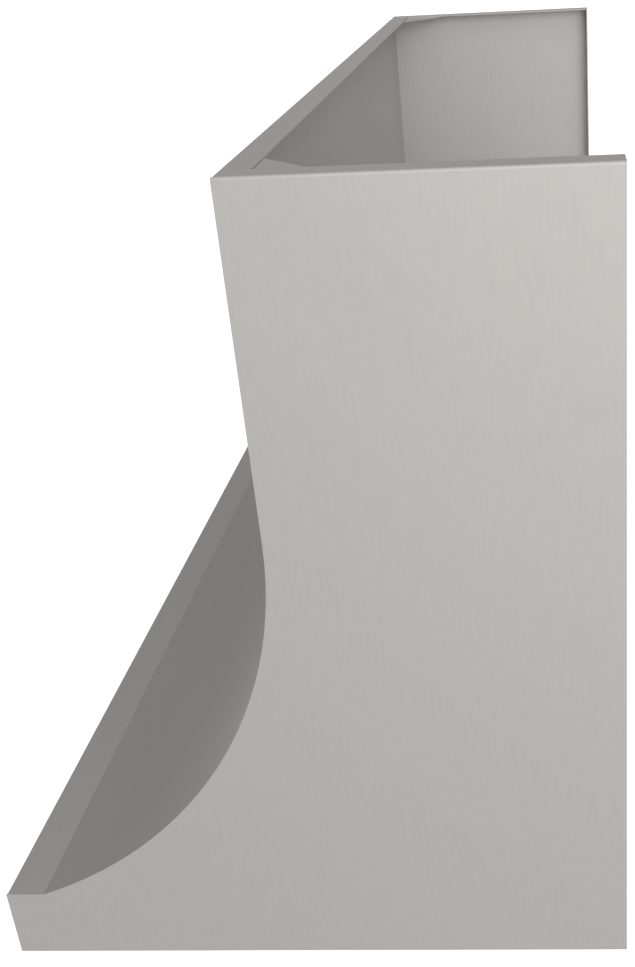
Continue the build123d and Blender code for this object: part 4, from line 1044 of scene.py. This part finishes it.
@dataclass
class Liner:
    """Stainless liner that closes the underside, and its deep-drawn grease tray on two runners."""

    sheet: float = 1.0 * MM
    hem: float = 5.0 * MM
    corner: float = 6.0 * MM
    corner_steps: int = 8
    floor_radius: float = 3.0 * MM
    floor_steps: int = 4
    rounding: float = 0.2 * MM
    steel: Finish = BrushedSteel("liner_steel", (0.42, 0.405, 0.39))
    tray_steel: Finish = BrushedSteel("tray_steel", (0.42, 0.405, 0.39), grain=Grain.ACROSS_MAP)

    def build(self) -> None:
        """Makes the tray and dresses the sheets of the liner."""
        self.tray()
        sheets = ["console_panel", "rear_rail", "liner_side_right", "liner_side_left"]
        dress(sheets + ["filter_dividers", "tray_runners"], self.steel)

    def ring(self, half_x: float, half_y: float, radius: float, level: float) -> np.ndarray:
        """Rounded rectangle, four quarter arcs joined by straight runs.

        Args:
            half_x: Half its length.
            half_y: Half its width.
            radius: Radius of its corners.
            level: Height of the ring.

        Returns:
            An array of points, the first of them again at the end.
        """
        quarters = []
        for index, (side_x, side_y) in enumerate(((1, 1), (-1, 1), (-1, -1), (1, -1))):
            centre = (side_x * (half_x - radius), side_y * (half_y - radius))
            quarters.append(arc(centre, radius, 90 * index, 90 * index + 90, self.corner_steps))
        return at_height(np.concatenate(quarters + [quarters[0][:1]]), level)

    def tray(self) -> None:
        """Tray as nested rings: floor, drawn edge, wall and hem outside, and the same inside."""
        low, high = (np.array(corner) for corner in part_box("grease_tray"))
        half_x, half_y, _ = (high - low) / 2
        height = high[2] - low[2]
        centre = (self.floor_radius, self.floor_radius)
        outer_edge = arc(centre, self.floor_radius, 270, 180, self.floor_steps)
        inner_edge = arc(centre, self.floor_radius - self.sheet, 180, 270, self.floor_steps)
        under_hem = height - self.sheet
        levels = [(half_y, 0.0), *outer_edge, (0.0, height)]
        levels += [(self.hem, height), (self.hem, under_hem), (self.sheet, under_hem)]
        levels += [*inner_edge, (half_y, self.sheet)]
        rings = [
            self.ring(half_x - inset, half_y - inset, max(self.corner - inset, 0.0), level)
            for inset, level in levels
        ]
        skin = Skin()
        skin.grid(np.stack(rings) + np.array([*((low + high)[:2] / 2), low[2]]))
        place(skin.build("grease_tray_drawn", self.rounding), self.tray_steel, "grease_tray")


@dataclass
class Lamps:
    """Four lamps: turned bodies with a rolled trim and cooling fins, and ribbed lenses."""

    insets: Pair = (180.0 * MM, 420.0 * MM)
    trim_radius: float = 35.0 * MM
    trim_height: float = 1.6 * MM
    roll_radius: float = 1.2 * MM
    lip_radius: float = 1.0 * MM
    body_radius: float = 28.8 * MM
    bore_radius: float = 26.1 * MM
    fins: int = 4
    fin_depth: float = 4.0 * MM
    fin_pitch: float = 5.0 * MM
    fin_gap: float = 3.0 * MM
    first_fin: float = 3.2 * MM
    lens_radius: float = 26.0 * MM
    lens_dome: float = 0.5 * MM
    lens_ribs: int = 9
    rib_height: float = 0.3 * MM
    rib_steps: int = 8
    segments: int = 64
    metal: Finish = BrushedSteel("turned_aluminium", (0.50, 0.50, 0.50), (0.36, 0.50), Grain.DOWN_MAP)
    glass: Finish = FrostedGlass("lens_glass")
    driver: Finish = Moulded("driver_plastic", (0.05, 0.05, 0.053))

    def build(self) -> None:
        """Makes the housings and the lenses and dresses the driver."""
        half_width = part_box("side_panel_right")[1].x
        low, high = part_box("lamp_lenses")
        base, top = (corner.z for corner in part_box("lamp_housings"))
        y = (low.y + high.y) / 2
        housing, lens = self.housing(high.z - base, top - base), self.lens(high.z - low.z)
        housings, lenses = Skin(), Skin()
        for x in (side * (half_width - inset) for side in (-1, 1) for inset in self.insets):
            housings.lathe(housing, (x, y, base), (0, 0, 1), self.segments)
            lenses.lathe(lens, (x, y, low.z), (0, 0, 1), self.segments)
        place(housings.build("lamp_housings_turned"), self.metal, "lamp_housings")
        place(lenses.build("lamp_lenses_ribbed"), self.glass, "lamp_lenses")
        dress(["lamp_driver"], self.driver)

    def housing(self, pocket: float, height: float) -> np.ndarray:
        """Profile of a housing: pocket, rolled trim, body and fins, each fin a step in and out.

        Args:
            pocket: Depth of the lens pocket.
            height: Height of the whole housing.

        Returns:
            Pairs of (distance from the axis, height).
        """
        body, bore, root = self.body_radius, self.bore_radius, self.body_radius - self.fin_depth
        lip = arc((bore + self.lip_radius, self.lip_radius), self.lip_radius, 180, 270, 4)
        roll = arc((self.trim_radius - self.roll_radius, self.roll_radius), self.roll_radius, 270, 360, 5)
        starts = self.trim_height + self.first_fin + self.fin_pitch * np.arange(self.fins)
        radii = np.tile([body, root, root, body], self.fins)
        levels = (starts[:, None] + np.array([0.0, 0.0, self.fin_gap, self.fin_gap])).ravel()
        parts = [
            [(0, pocket), (bore, pocket)],
            lip,
            roll,
            [(self.trim_radius, self.trim_height), (body, self.trim_height)],
            np.column_stack([radii, levels]),
            [(body, height), (root, height), (0, height)],
        ]
        return np.concatenate(parts)

    def lens(self, thickness: float) -> np.ndarray:
        """Profile of a lens: a shallow dome below, with a raised cosine rib in each ring.

        The lower face lies at dome x (distance / radius) squared + rib x (1 - cos ring) / 2.

        Args:
            thickness: Thickness at the middle.

        Returns:
            Pairs of (distance from the axis, height).
        """
        share = np.linspace(0.0, 1.0, self.rib_steps * self.lens_ribs + 1)
        ribs = self.rib_height / 2 * (1 - np.cos(TURN * self.lens_ribs * share))
        below = np.column_stack([self.lens_radius * share, self.lens_dome * share**2 + ribs])
        return np.concatenate([below, [(self.lens_radius, thickness), (0, thickness)]])


@dataclass
class Controls:
    """Two fluted knobs with an inlaid pointer, over rotary switches in their box."""

    radius: float = 14.0 * MM
    dish_shares: Triple = (0.0, 0.55, 0.8)
    dish_depths: Triple = (0.5 * MM, 0.4 * MM, 0.1 * MM)
    brow_radius: float = 1.2 * MM
    foot: float = 0.6 * MM
    skirt_radius: float = 19.0 * MM
    skirt_height: float = 5.0 * MM
    shoulder_radius: float = 1.0 * MM
    rim_radius: float = 1.5 * MM
    flutes: int = 12
    flute_radius: float = 2.0 * MM
    steps_per_flute: int = 10
    pointer_width: float = 1.6 * MM
    pointer_shares: Pair = (0.25, 0.78)
    pointer_levels: Pair = (0.05 * MM, 0.7 * MM)
    pointer_steps: int = 6
    metal: Finish = BrushedSteel("knob_steel", (0.45, 0.44, 0.43), (0.30, 0.42), Grain.DOWN_MAP)
    inlay: Finish = Moulded("pointer_inlay", (0.02, 0.02, 0.02))
    plastic: Finish = Moulded("switch_plastic", (0.08, 0.08, 0.085))

    def build(self) -> None:
        """Makes both knobs and dresses what lies behind them."""
        for name in ("fan", "light"):
            self.knob(name)
        dress(["fan_switch", "light_dimmer"], self.plastic)
        dress(["fan_spindle", "light_spindle"], PLATED)
        dress(["control_box"], GALVANISED)

    def knob(self, name: str) -> None:
        """Knob whose distance from the axis is its profile less the flutes.

        A flute takes off the half-round sqrt(flute radius squared - arc squared), where arc is the
        distance along the grip from the flute's middle.

        Args:
            name: Which control.
        """
        low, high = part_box(f"{name}_knob")
        centre = np.array([(low.x + high.x) / 2, (low.y + high.y) / 2, low.z])
        spindle_low, spindle_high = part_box(f"{name}_spindle")
        bore, mouth = (spindle_high.x - spindle_low.x) / 2, spindle_low.z - low.z
        height = high.z - low.z
        grip = height - self.skirt_height
        brow, shoulder, rim = self.brow_radius, self.shoulder_radius, self.rim_radius
        dish = np.column_stack([self.radius * np.array(self.dish_shares), self.dish_depths])
        fluted = np.concatenate(
            [arc((self.radius - brow, brow), brow, 270, 360, 4), [(self.radius, grip - self.foot)]]
        )
        plain = [
            [(self.radius + self.foot, grip)],
            arc((self.skirt_radius - shoulder, grip + shoulder), shoulder, 270, 360, 4),
            arc((self.skirt_radius - rim, height - rim), rim, 0, 90, 4),
            [(bore, height), (bore, mouth), (0.0, mouth)],
        ]
        profile = np.concatenate([dish, fluted, *plain])
        weight = np.zeros(len(profile))
        weight[len(dish) : len(dish) + len(fluted)] = 1.0
        angles = np.linspace(0.0, TURN, self.flutes * self.steps_per_flute + 1)
        pitch = TURN / self.flutes
        along = self.radius * ((angles + pitch / 2) % pitch - pitch / 2)
        cut = np.sqrt(np.maximum(self.flute_radius**2 - along**2, 0.0))
        reach = profile[None, :, 0] - weight[None, :] * cut[:, None]
        around = [reach * np.cos(angles)[:, None], reach * np.sin(angles)[:, None]]
        skin = Skin()
        skin.grid(centre + np.stack([*around, np.broadcast_to(profile[:, 1], reach.shape)], axis=-1))
        place(skin.build(f"{name}_knob_fluted"), self.metal, f"{name}_knob")
        self.pointer(name, centre)

    def pointer(self, name: str, centre: np.ndarray) -> None:
        """Flat bar with round ends, inlaid through the dish of the knob's face.

        Args:
            name: Which control.
            centre: Middle of the knob's face.
        """
        half = self.pointer_width / 2
        near, far = (share * self.radius for share in self.pointer_shares)
        tip = arc((0, -far), half, 180, 360, self.pointer_steps)
        outline = np.concatenate([tip, arc((0, -near), half, 0, 180, self.pointer_steps), tip[:1]])
        middle = np.broadcast_to([0.0, -(near + far) / 2], outline.shape)
        face, root = self.pointer_levels
        rings = [(middle, face), (outline, face), (outline, root), (middle, root)]
        skin = Skin()
        skin.grid(centre + np.stack([at_height(flat, z) for flat, z in rings]))
        place(skin.build(f"{name}_knob_pointer"), self.inlay, f"{name}_knob", replaces=False)


@dataclass
class Blower:
    """Centrifugal blower: galvanised scroll, forward-curved wheel, enamelled motor on its bracket."""

    outer: float = 95.0 * MM
    inner: float = 80.0 * MM
    ring: float = 2.0 * MM
    ring_segments: int = 96
    blades: int = 40
    blade_sheet: float = 0.9 * MM
    blade_chord: float = 16.0 * MM
    blade_rise: float = 2.6 * MM
    blade_pitch: float = math.radians(35.0)
    blade_steps: int = 6
    hub_radius: float = 13.0 * MM
    hub_length: float = 26.0 * MM
    bore: float = 4.0 * MM
    rib_start: float = 15.0 * MM
    rib_height: float = 1.2 * MM
    rib_steps: int = 23
    disc_segments: int = 72
    wheel_zinc: Finish = GalvanisedSheet("wheel_zinc", (0.55, 0.56, 0.57), 60.0)
    enamel: Finish = Moulded("motor_enamel", (0.035, 0.035, 0.038), (0.30, 0.42), 700.0, coat=0.3)
    can: Finish = PlatedSteel("capacitor_can", (0.58, 0.58, 0.58), (0.30, 0.44))

    def build(self) -> None:
        """Makes the wheel and dresses the rest of the blower."""
        self.wheel()
        housing = ["blower_scroll", "blower_cheek_front", "blower_cheek_rear", "motor_bracket"]
        dress(housing, GALVANISED)
        dress(["blower_motor"], self.enamel)
        dress(["motor_shaft"], PLATED)
        dress(["capacitor"], self.can)

    def wheel(self) -> None:
        """Wheel with two end rings, a ribbed disc with its hub, and curved blades.

        Each blade is the first one turned round the wheel's axis.
        """
        axis = joint_place("wheel_spin")[[0, 2]]
        low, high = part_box("impeller")
        skin = Skin()
        for start in (low.y, high.y - self.ring):
            skin.lathe(self.end_ring(), (axis[0], start, axis[1]), (0, 1, 0), self.ring_segments)
        middle = (low.y + high.y) / 2
        skin.lathe(self.disc(), (axis[0], middle, axis[1]), (0, 1, 0), self.disc_segments)
        first, second = self.blade()
        ends = (low.y + self.ring, high.y - self.ring)
        for angle in np.linspace(0.0, TURN, self.blades, endpoint=False):
            spin = turned(angle)
            skin.carry((first @ spin + axis, second @ spin + axis), at_depth, ends)
        place(skin.build("impeller_wheel"), self.wheel_zinc, "impeller")

    def end_ring(self) -> np.ndarray:
        """Profile of an end ring, a rectangle with its corners cut off.

        Returns:
            Pairs of (distance from the axis, height).
        """
        edge = self.ring / 4
        inner, outer, top = (self.inner, self.inner + edge), (self.outer - edge, self.outer), self.ring
        below = [(inner[0], edge), (inner[1], 0), (outer[0], 0), (outer[1], edge)]
        above = [(outer[1], top - edge), (outer[0], top), (inner[1], top), (inner[0], top - edge)]
        return np.array(below + above + below[:1])

    def disc(self) -> np.ndarray:
        """Profile of the disc on its hub, whose rib rises by height x sin squared.

        Returns:
            Pairs of (distance from the axis, height).
        """
        edge, half_disc, half_hub = self.ring / 4, self.ring / 2, self.hub_length / 2
        share = np.linspace(0, 1, self.rib_steps + 1)
        spread = np.linspace(self.rib_start, (self.inner + self.outer) / 2, self.rib_steps + 1)
        rib = self.rib_height * np.sin(np.pi * share) ** 2
        parts = [
            [(self.bore, -half_hub), (self.hub_radius - edge, -half_hub)],
            [(self.hub_radius, edge - half_hub), (self.hub_radius, -half_disc)],
            np.column_stack([spread, rib - half_disc]),
            np.column_stack([spread, rib + half_disc])[::-1],
            [(self.hub_radius, half_disc), (self.hub_radius, half_hub - edge)],
            [(self.hub_radius - edge, half_hub), (self.bore, half_hub), (self.bore, -half_hub)],
        ]
        return np.concatenate(parts)

    def blade(self) -> Faces:
        """Section of the first blade, at the height of the wheel's axis.

        Its middle line is the parabola rise x (1 - (2 x share - 1) squared), lowered by half the rise
        and turned by the pitch.

        Returns:
            The points of both its faces.
        """
        share = np.linspace(0.0, 1.0, self.blade_steps + 1)
        rise = self.blade_rise * (1 - (2 * share - 1) ** 2) - self.blade_rise / 2
        line = np.column_stack([(share - 0.5) * self.blade_chord, rise]) @ turned(self.blade_pitch)
        line += np.array([(self.inner + self.outer) / 2, 0.0])
        side = self.blade_sheet / 2 * left_of(unit(np.gradient(line, axis=0)))
        return line - side, line + side


@dataclass
class Duct:
    """Duct collar with a rolled bead, its rod and flaps, and the sheet that closes the top."""

    sheet: float = 1.2 * MM
    flange: float = 16.0 * MM
    bead: float = 1.8 * MM
    bead_width: float = 3.0 * MM
    bead_drop: float = 12.0 * MM
    wall_steps: int = 59
    segments: int = 120
    stop_width: float = 16.0 * MM
    stop_depth: float = 7.0 * MM
    stop_sheet: float = 1.4 * MM
    stop_drop: float = 0.7 * MM

    def build(self) -> None:
        """Makes the collar and dresses the flaps, the rod and the flat sheets."""
        self.collar()
        flat = ["plenum_top", "back_panel", "lower_rail", "hanging_rail"]
        dress(flat + ["damper_flap_front", "damper_flap_rear"], GALVANISED)
        dress(["damper_rod"], PLATED)

    def collar(self) -> None:
        """Collar turned from its section, whose wall swells out as a bell curve at the bead.

        The wall's distance is radius + bead x exp(-((height - bead height) / bead width) squared).
        """
        low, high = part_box("duct_collar")
        middle_y = (low.y + high.y) / 2
        outer = high.x - self.flange
        inner = outer - self.sheet
        height, foot = high.z - low.z, 2 * self.sheet
        levels = np.linspace(foot, height, self.wall_steps + 1)
        swell = self.bead * np.exp(-(((levels - height + self.bead_drop) / self.bead_width) ** 2))
        section = [
            [(inner, 0.0), (high.x, 0.0), (high.x, self.sheet)],
            arc((outer + self.sheet, foot), self.sheet, 270, 180, 4),
            np.column_stack([outer + swell, levels]),
            np.column_stack([inner + swell, levels])[::-1],
            [(inner, 0.0)],
        ]
        skin = Skin()
        skin.lathe(np.concatenate(section), (0, middle_y, low.z), (0, 0, 1), self.segments)
        self.stops(skin, middle_y, inner)
        place(skin.build("duct_collar_beaded"), GALVANISED, "duct_collar")

    def stops(self, skin: Skin, middle_y: float, inner: float) -> None:
        """Two tabs under the flaps, each a bar with square ends inside the wall.

        Args:
            skin: Where the grids go.
            middle_y: The collar's axis along Y.
            inner: Inner radius of the wall.
        """
        half = self.stop_width / 2
        under = joint_place("flap_front_swing")[2] - self.stop_drop - self.stop_sheet
        faces = folded([(-half, under), (half, under)], self.stop_sheet, 0.0)
        for way in (-1, 1):
            reach = (inner - self.stop_depth, inner + self.sheet / 2)
            skin.carry(faces, at_depth, tuple(middle_y + way * distance for distance in reach))


@dataclass
class Wiring:
    """Junction box, held cables and leads, and the clips that hold them."""

    sheath: Finish = Moulded("cable_sheath", (0.03, 0.03, 0.032), (0.45, 0.60), 900.0)
    plastic: Finish = Moulded("clip_plastic", (0.08, 0.08, 0.085))

    def build(self) -> None:
        """Dresses the box, the cables and the clips."""
        dress(["junction_box", "junction_cover"], GALVANISED)
        dress(["motor_cable", "control_cable", "lamp_leads"], self.sheath)
        dress(["cable_clips"], self.plastic)


@dataclass
class Fasteners:
    """Pan-head screws with a cross recess, under the liner and on the plenum top."""

    head_radius: float = 4.0 * MM
    head_height: float = 1.6 * MM
    crown_shares: tuple[float, ...] = (0.62, 0.85, 0.97, 1.0)
    crown_depths: tuple[float, ...] = (0.0, 0.25 * MM, 0.75 * MM, 1.2 * MM)
    shank_radius: float = 2.0 * MM
    tip: float = 0.8 * MM
    recess: float = 1.0 * MM
    recess_reach: float = 1.35 * MM
    recess_swing: float = 0.65 * MM
    recess_floor: float = 0.7
    recess_rim: float = 0.05 * MM
    segments: int = 32
    apart: float = 10.0 * MM

    def build(self) -> None:
        """Makes both groups of screws in the places of the CAD's."""
        for node, way in (("liner_screws", -1), ("plenum_screws", 1)):
            skin = Skin()
            for low, high in self.places(node):
                top = high[2] if way > 0 else low[2]
                middle = (low + high) / 2
                self.screw(skin, np.array([middle[0], middle[1], top]), high[2] - low[2], way)
            place(skin.build(f"{node}_pan_head"), PLATED, node)

    def places(self, node: str) -> list[tuple[np.ndarray, np.ndarray]]:
        """Box of each screw in a node, found by gathering the points around each head.

        Args:
            node: Name of the node.

        Returns:
            The lowest and highest corner of each screw.
        """
        left, found = node_points(node), []
        while len(left):
            near = np.linalg.norm(left[:, :2] - left[0, :2], axis=1) < self.apart
            found.append((left[near].min(axis=0), left[near].max(axis=0)))
            left = left[~near]
        return found

    def screw(self, skin: Skin, top: np.ndarray, length: float, way: int) -> None:
        """One screw, a turned profile whose recess has four lobes.

        The recess reaches base + swing x cos(4 x angle) from the axis.

        Args:
            skin: Where the grid goes.
            top: Middle of the head's top.
            length: Length of the whole screw.
            way: 1 for a head that looks up and -1 for one that looks down.
        """
        angles = np.linspace(0.0, TURN, self.segments + 1)[:, None]
        circle = np.hstack([np.cos(angles), np.sin(angles)])
        lobes = self.recess_reach + self.recess_swing * np.cos(4 * angles)
        recess = [(0.0, self.recess), (self.recess_floor * lobes, self.recess), (lobes, self.recess_rim)]
        shares = zip(self.crown_shares, self.crown_depths)
        crown = [(share * self.head_radius, depth) for share, depth in shares]
        shank = [
            (self.head_radius, self.head_height),
            (self.shank_radius, self.head_height),
            (self.shank_radius, length - self.tip),
            (self.shank_radius / 2, length),
            (0.0, length),
        ]
        rows = [at_height(radius * circle, -way * depth) for radius, depth in recess + crown + shank]
        skin.grid(top + np.stack(rows))


@dataclass
class Studio:
    """White floor, soft light and the camera at the photograph's viewpoint."""

    camera_place: Triple = (1.55530, -0.04851, 0.94658)
    camera_turn: Triple = (63.3544, 2.7523, 92.5441)
    focal_pixels: float = 1285.3
    centre_pixels: Pair = (488.92, 525.19)
    sensor: float = 36.0
    floor_drop: float = 2.6
    floor_reach: float = 120.0
    floor_paint: float = 0.8
    shadow_paint: float = 0.3
    glow: float = 0.9
    mirrored_glow: float = 0.53
    right_reach: Pair = (-0.6, 0.5)
    right_light: Pair = (0.0, 1.0)
    front_reach: Pair = (-0.9, 0.1)
    front_light: Pair = (0.25, 1.0)
    zenith_reach: Pair = (0.1, 0.9)
    zenith_light: Pair = (0.0, 0.83)
    lamp_power: float = 390.0
    lamp_size: float = 5.2
    lamp_place: Triple = (6.5, 2.0, 2.0)
    lamp_aim: Triple = (0.0, -0.2, 0.5)

    def build(self) -> None:
        """Makes the floor, the world, the lamp and the camera."""
        self.floor()
        self.world()
        self.lamp()
        self.camera()

    def floor(self) -> None:
        """Floor that is white to the camera, to glossy and to transmitted rays, and keeps shadows.

        To those rays it glows over a darker paint that the shadows fall on, and it glows less to
        glossy rays. To others it is plain paint.
        """
        mesh = bpy.data.meshes.new("floor")
        reach, z = self.floor_reach, -self.floor_drop
        corners = [(-reach, -reach, z), (reach, -reach, z), (reach, reach, z), (-reach, reach, z)]
        mesh.from_pydata(corners, [], [(0, 1, 2, 3)])
        material = bpy.data.materials.new("floor_white")
        tree = Tree.emptied(material)
        path = tree.add("LightPath").outputs
        direct = tree.math("MAXIMUM", path["Is Camera Ray"], path["Is Transmission Ray"])
        seen = tree.math("MAXIMUM", direct, path["Is Glossy Ray"])
        strength = tree.math("MULTIPLY_ADD", direct, self.glow - self.mirrored_glow, self.mirrored_glow)
        glow = tree.add("Emission", Color=(*WHITE, 1.0), Strength=strength).outputs[0]
        paint, shadow = (
            tree.add("BsdfDiffuse", Color=(tone, tone, tone, 1.0)).outputs[0]
            for tone in (self.floor_paint, self.shadow_paint)
        )
        both = tree.add("AddShader", i0=glow, i1=shadow).outputs[0]
        mixed = tree.add("MixShader", i0=seen, i1=paint, i2=both).outputs[0]
        tree.add("OutputMaterial", Surface=mixed)
        mesh.materials.append(material)
        floor = bpy.data.objects.new("floor", mesh)
        bpy.context.scene.collection.objects.link(floor)

    def world(self) -> None:
        """World that is white to the camera and lights by right x front + zenith.

        Each of the three is a smooth step of its own axis.
        """
        world = bpy.data.worlds.new("studio")
        bpy.context.scene.world = world
        tree = Tree.emptied(world)
        direction = tree.add("SeparateXYZ", Vector=tree.add("TexCoord").outputs["Generated"]).outputs
        right = tree.step(direction[0], self.right_reach, self.right_light)
        front = tree.step(direction[1], self.front_reach, self.front_light)
        zenith = tree.step(direction[2], self.zenith_reach, self.zenith_light)
        light = tree.math("MULTIPLY_ADD", right, front, zenith)
        path = tree.add("LightPath").outputs
        seen = tree.math("MAXIMUM", path["Is Camera Ray"], path["Is Transmission Ray"])
        sky = tree.add("Background", Color=(*WHITE, 1.0), Strength=tree.math("MAXIMUM", seen, light))
        tree.add("OutputWorld", Surface=sky.outputs[0])

    def lamp(self) -> None:
        """Broad soft lamp on the right."""
        data = bpy.data.lights.new("right", "AREA")
        data.energy = self.lamp_power
        data.size = self.lamp_size
        lamp = bpy.data.objects.new("right", data)
        lamp.location = self.lamp_place
        heading = Vector(self.lamp_aim) - Vector(self.lamp_place)
        lamp.rotation_euler = heading.to_track_quat("-Z", "Y").to_euler()
        bpy.context.scene.collection.objects.link(lamp)

    def camera(self) -> None:
        """Camera whose lens and shift are worked out from the fitted pinhole."""
        data = bpy.data.cameras.new("camera")
        long_side = max(PICTURE_WIDTH, PICTURE_HEIGHT)
        data.sensor_width = self.sensor
        data.lens = self.focal_pixels * self.sensor / long_side
        data.shift_x = (PICTURE_WIDTH / 2 - self.centre_pixels[0]) / long_side
        data.shift_y = (self.centre_pixels[1] - PICTURE_HEIGHT / 2) / long_side
        data.clip_end = 2 * self.floor_reach
        camera = bpy.data.objects.new("camera", data)
        camera.location = self.camera_place
        camera.rotation_euler = tuple(math.radians(angle) for angle in self.camera_turn)
        bpy.context.scene.collection.objects.link(camera)
        bpy.context.scene.camera = camera
        bpy.context.scene.view_settings.view_transform = "Standard"


def main() -> None:
    """Builds every sub-assembly in order."""
    logging.basicConfig(level=logging.INFO, format="%(message)s")
    for kind in (Studio, Casing, Liner, Filters, Lamps, Controls, Blower, Duct, Wiring, Fasteners):
        LOG.info("building %s", kind.__name__)
        kind().build()


if __name__ == "__main__":
    main()
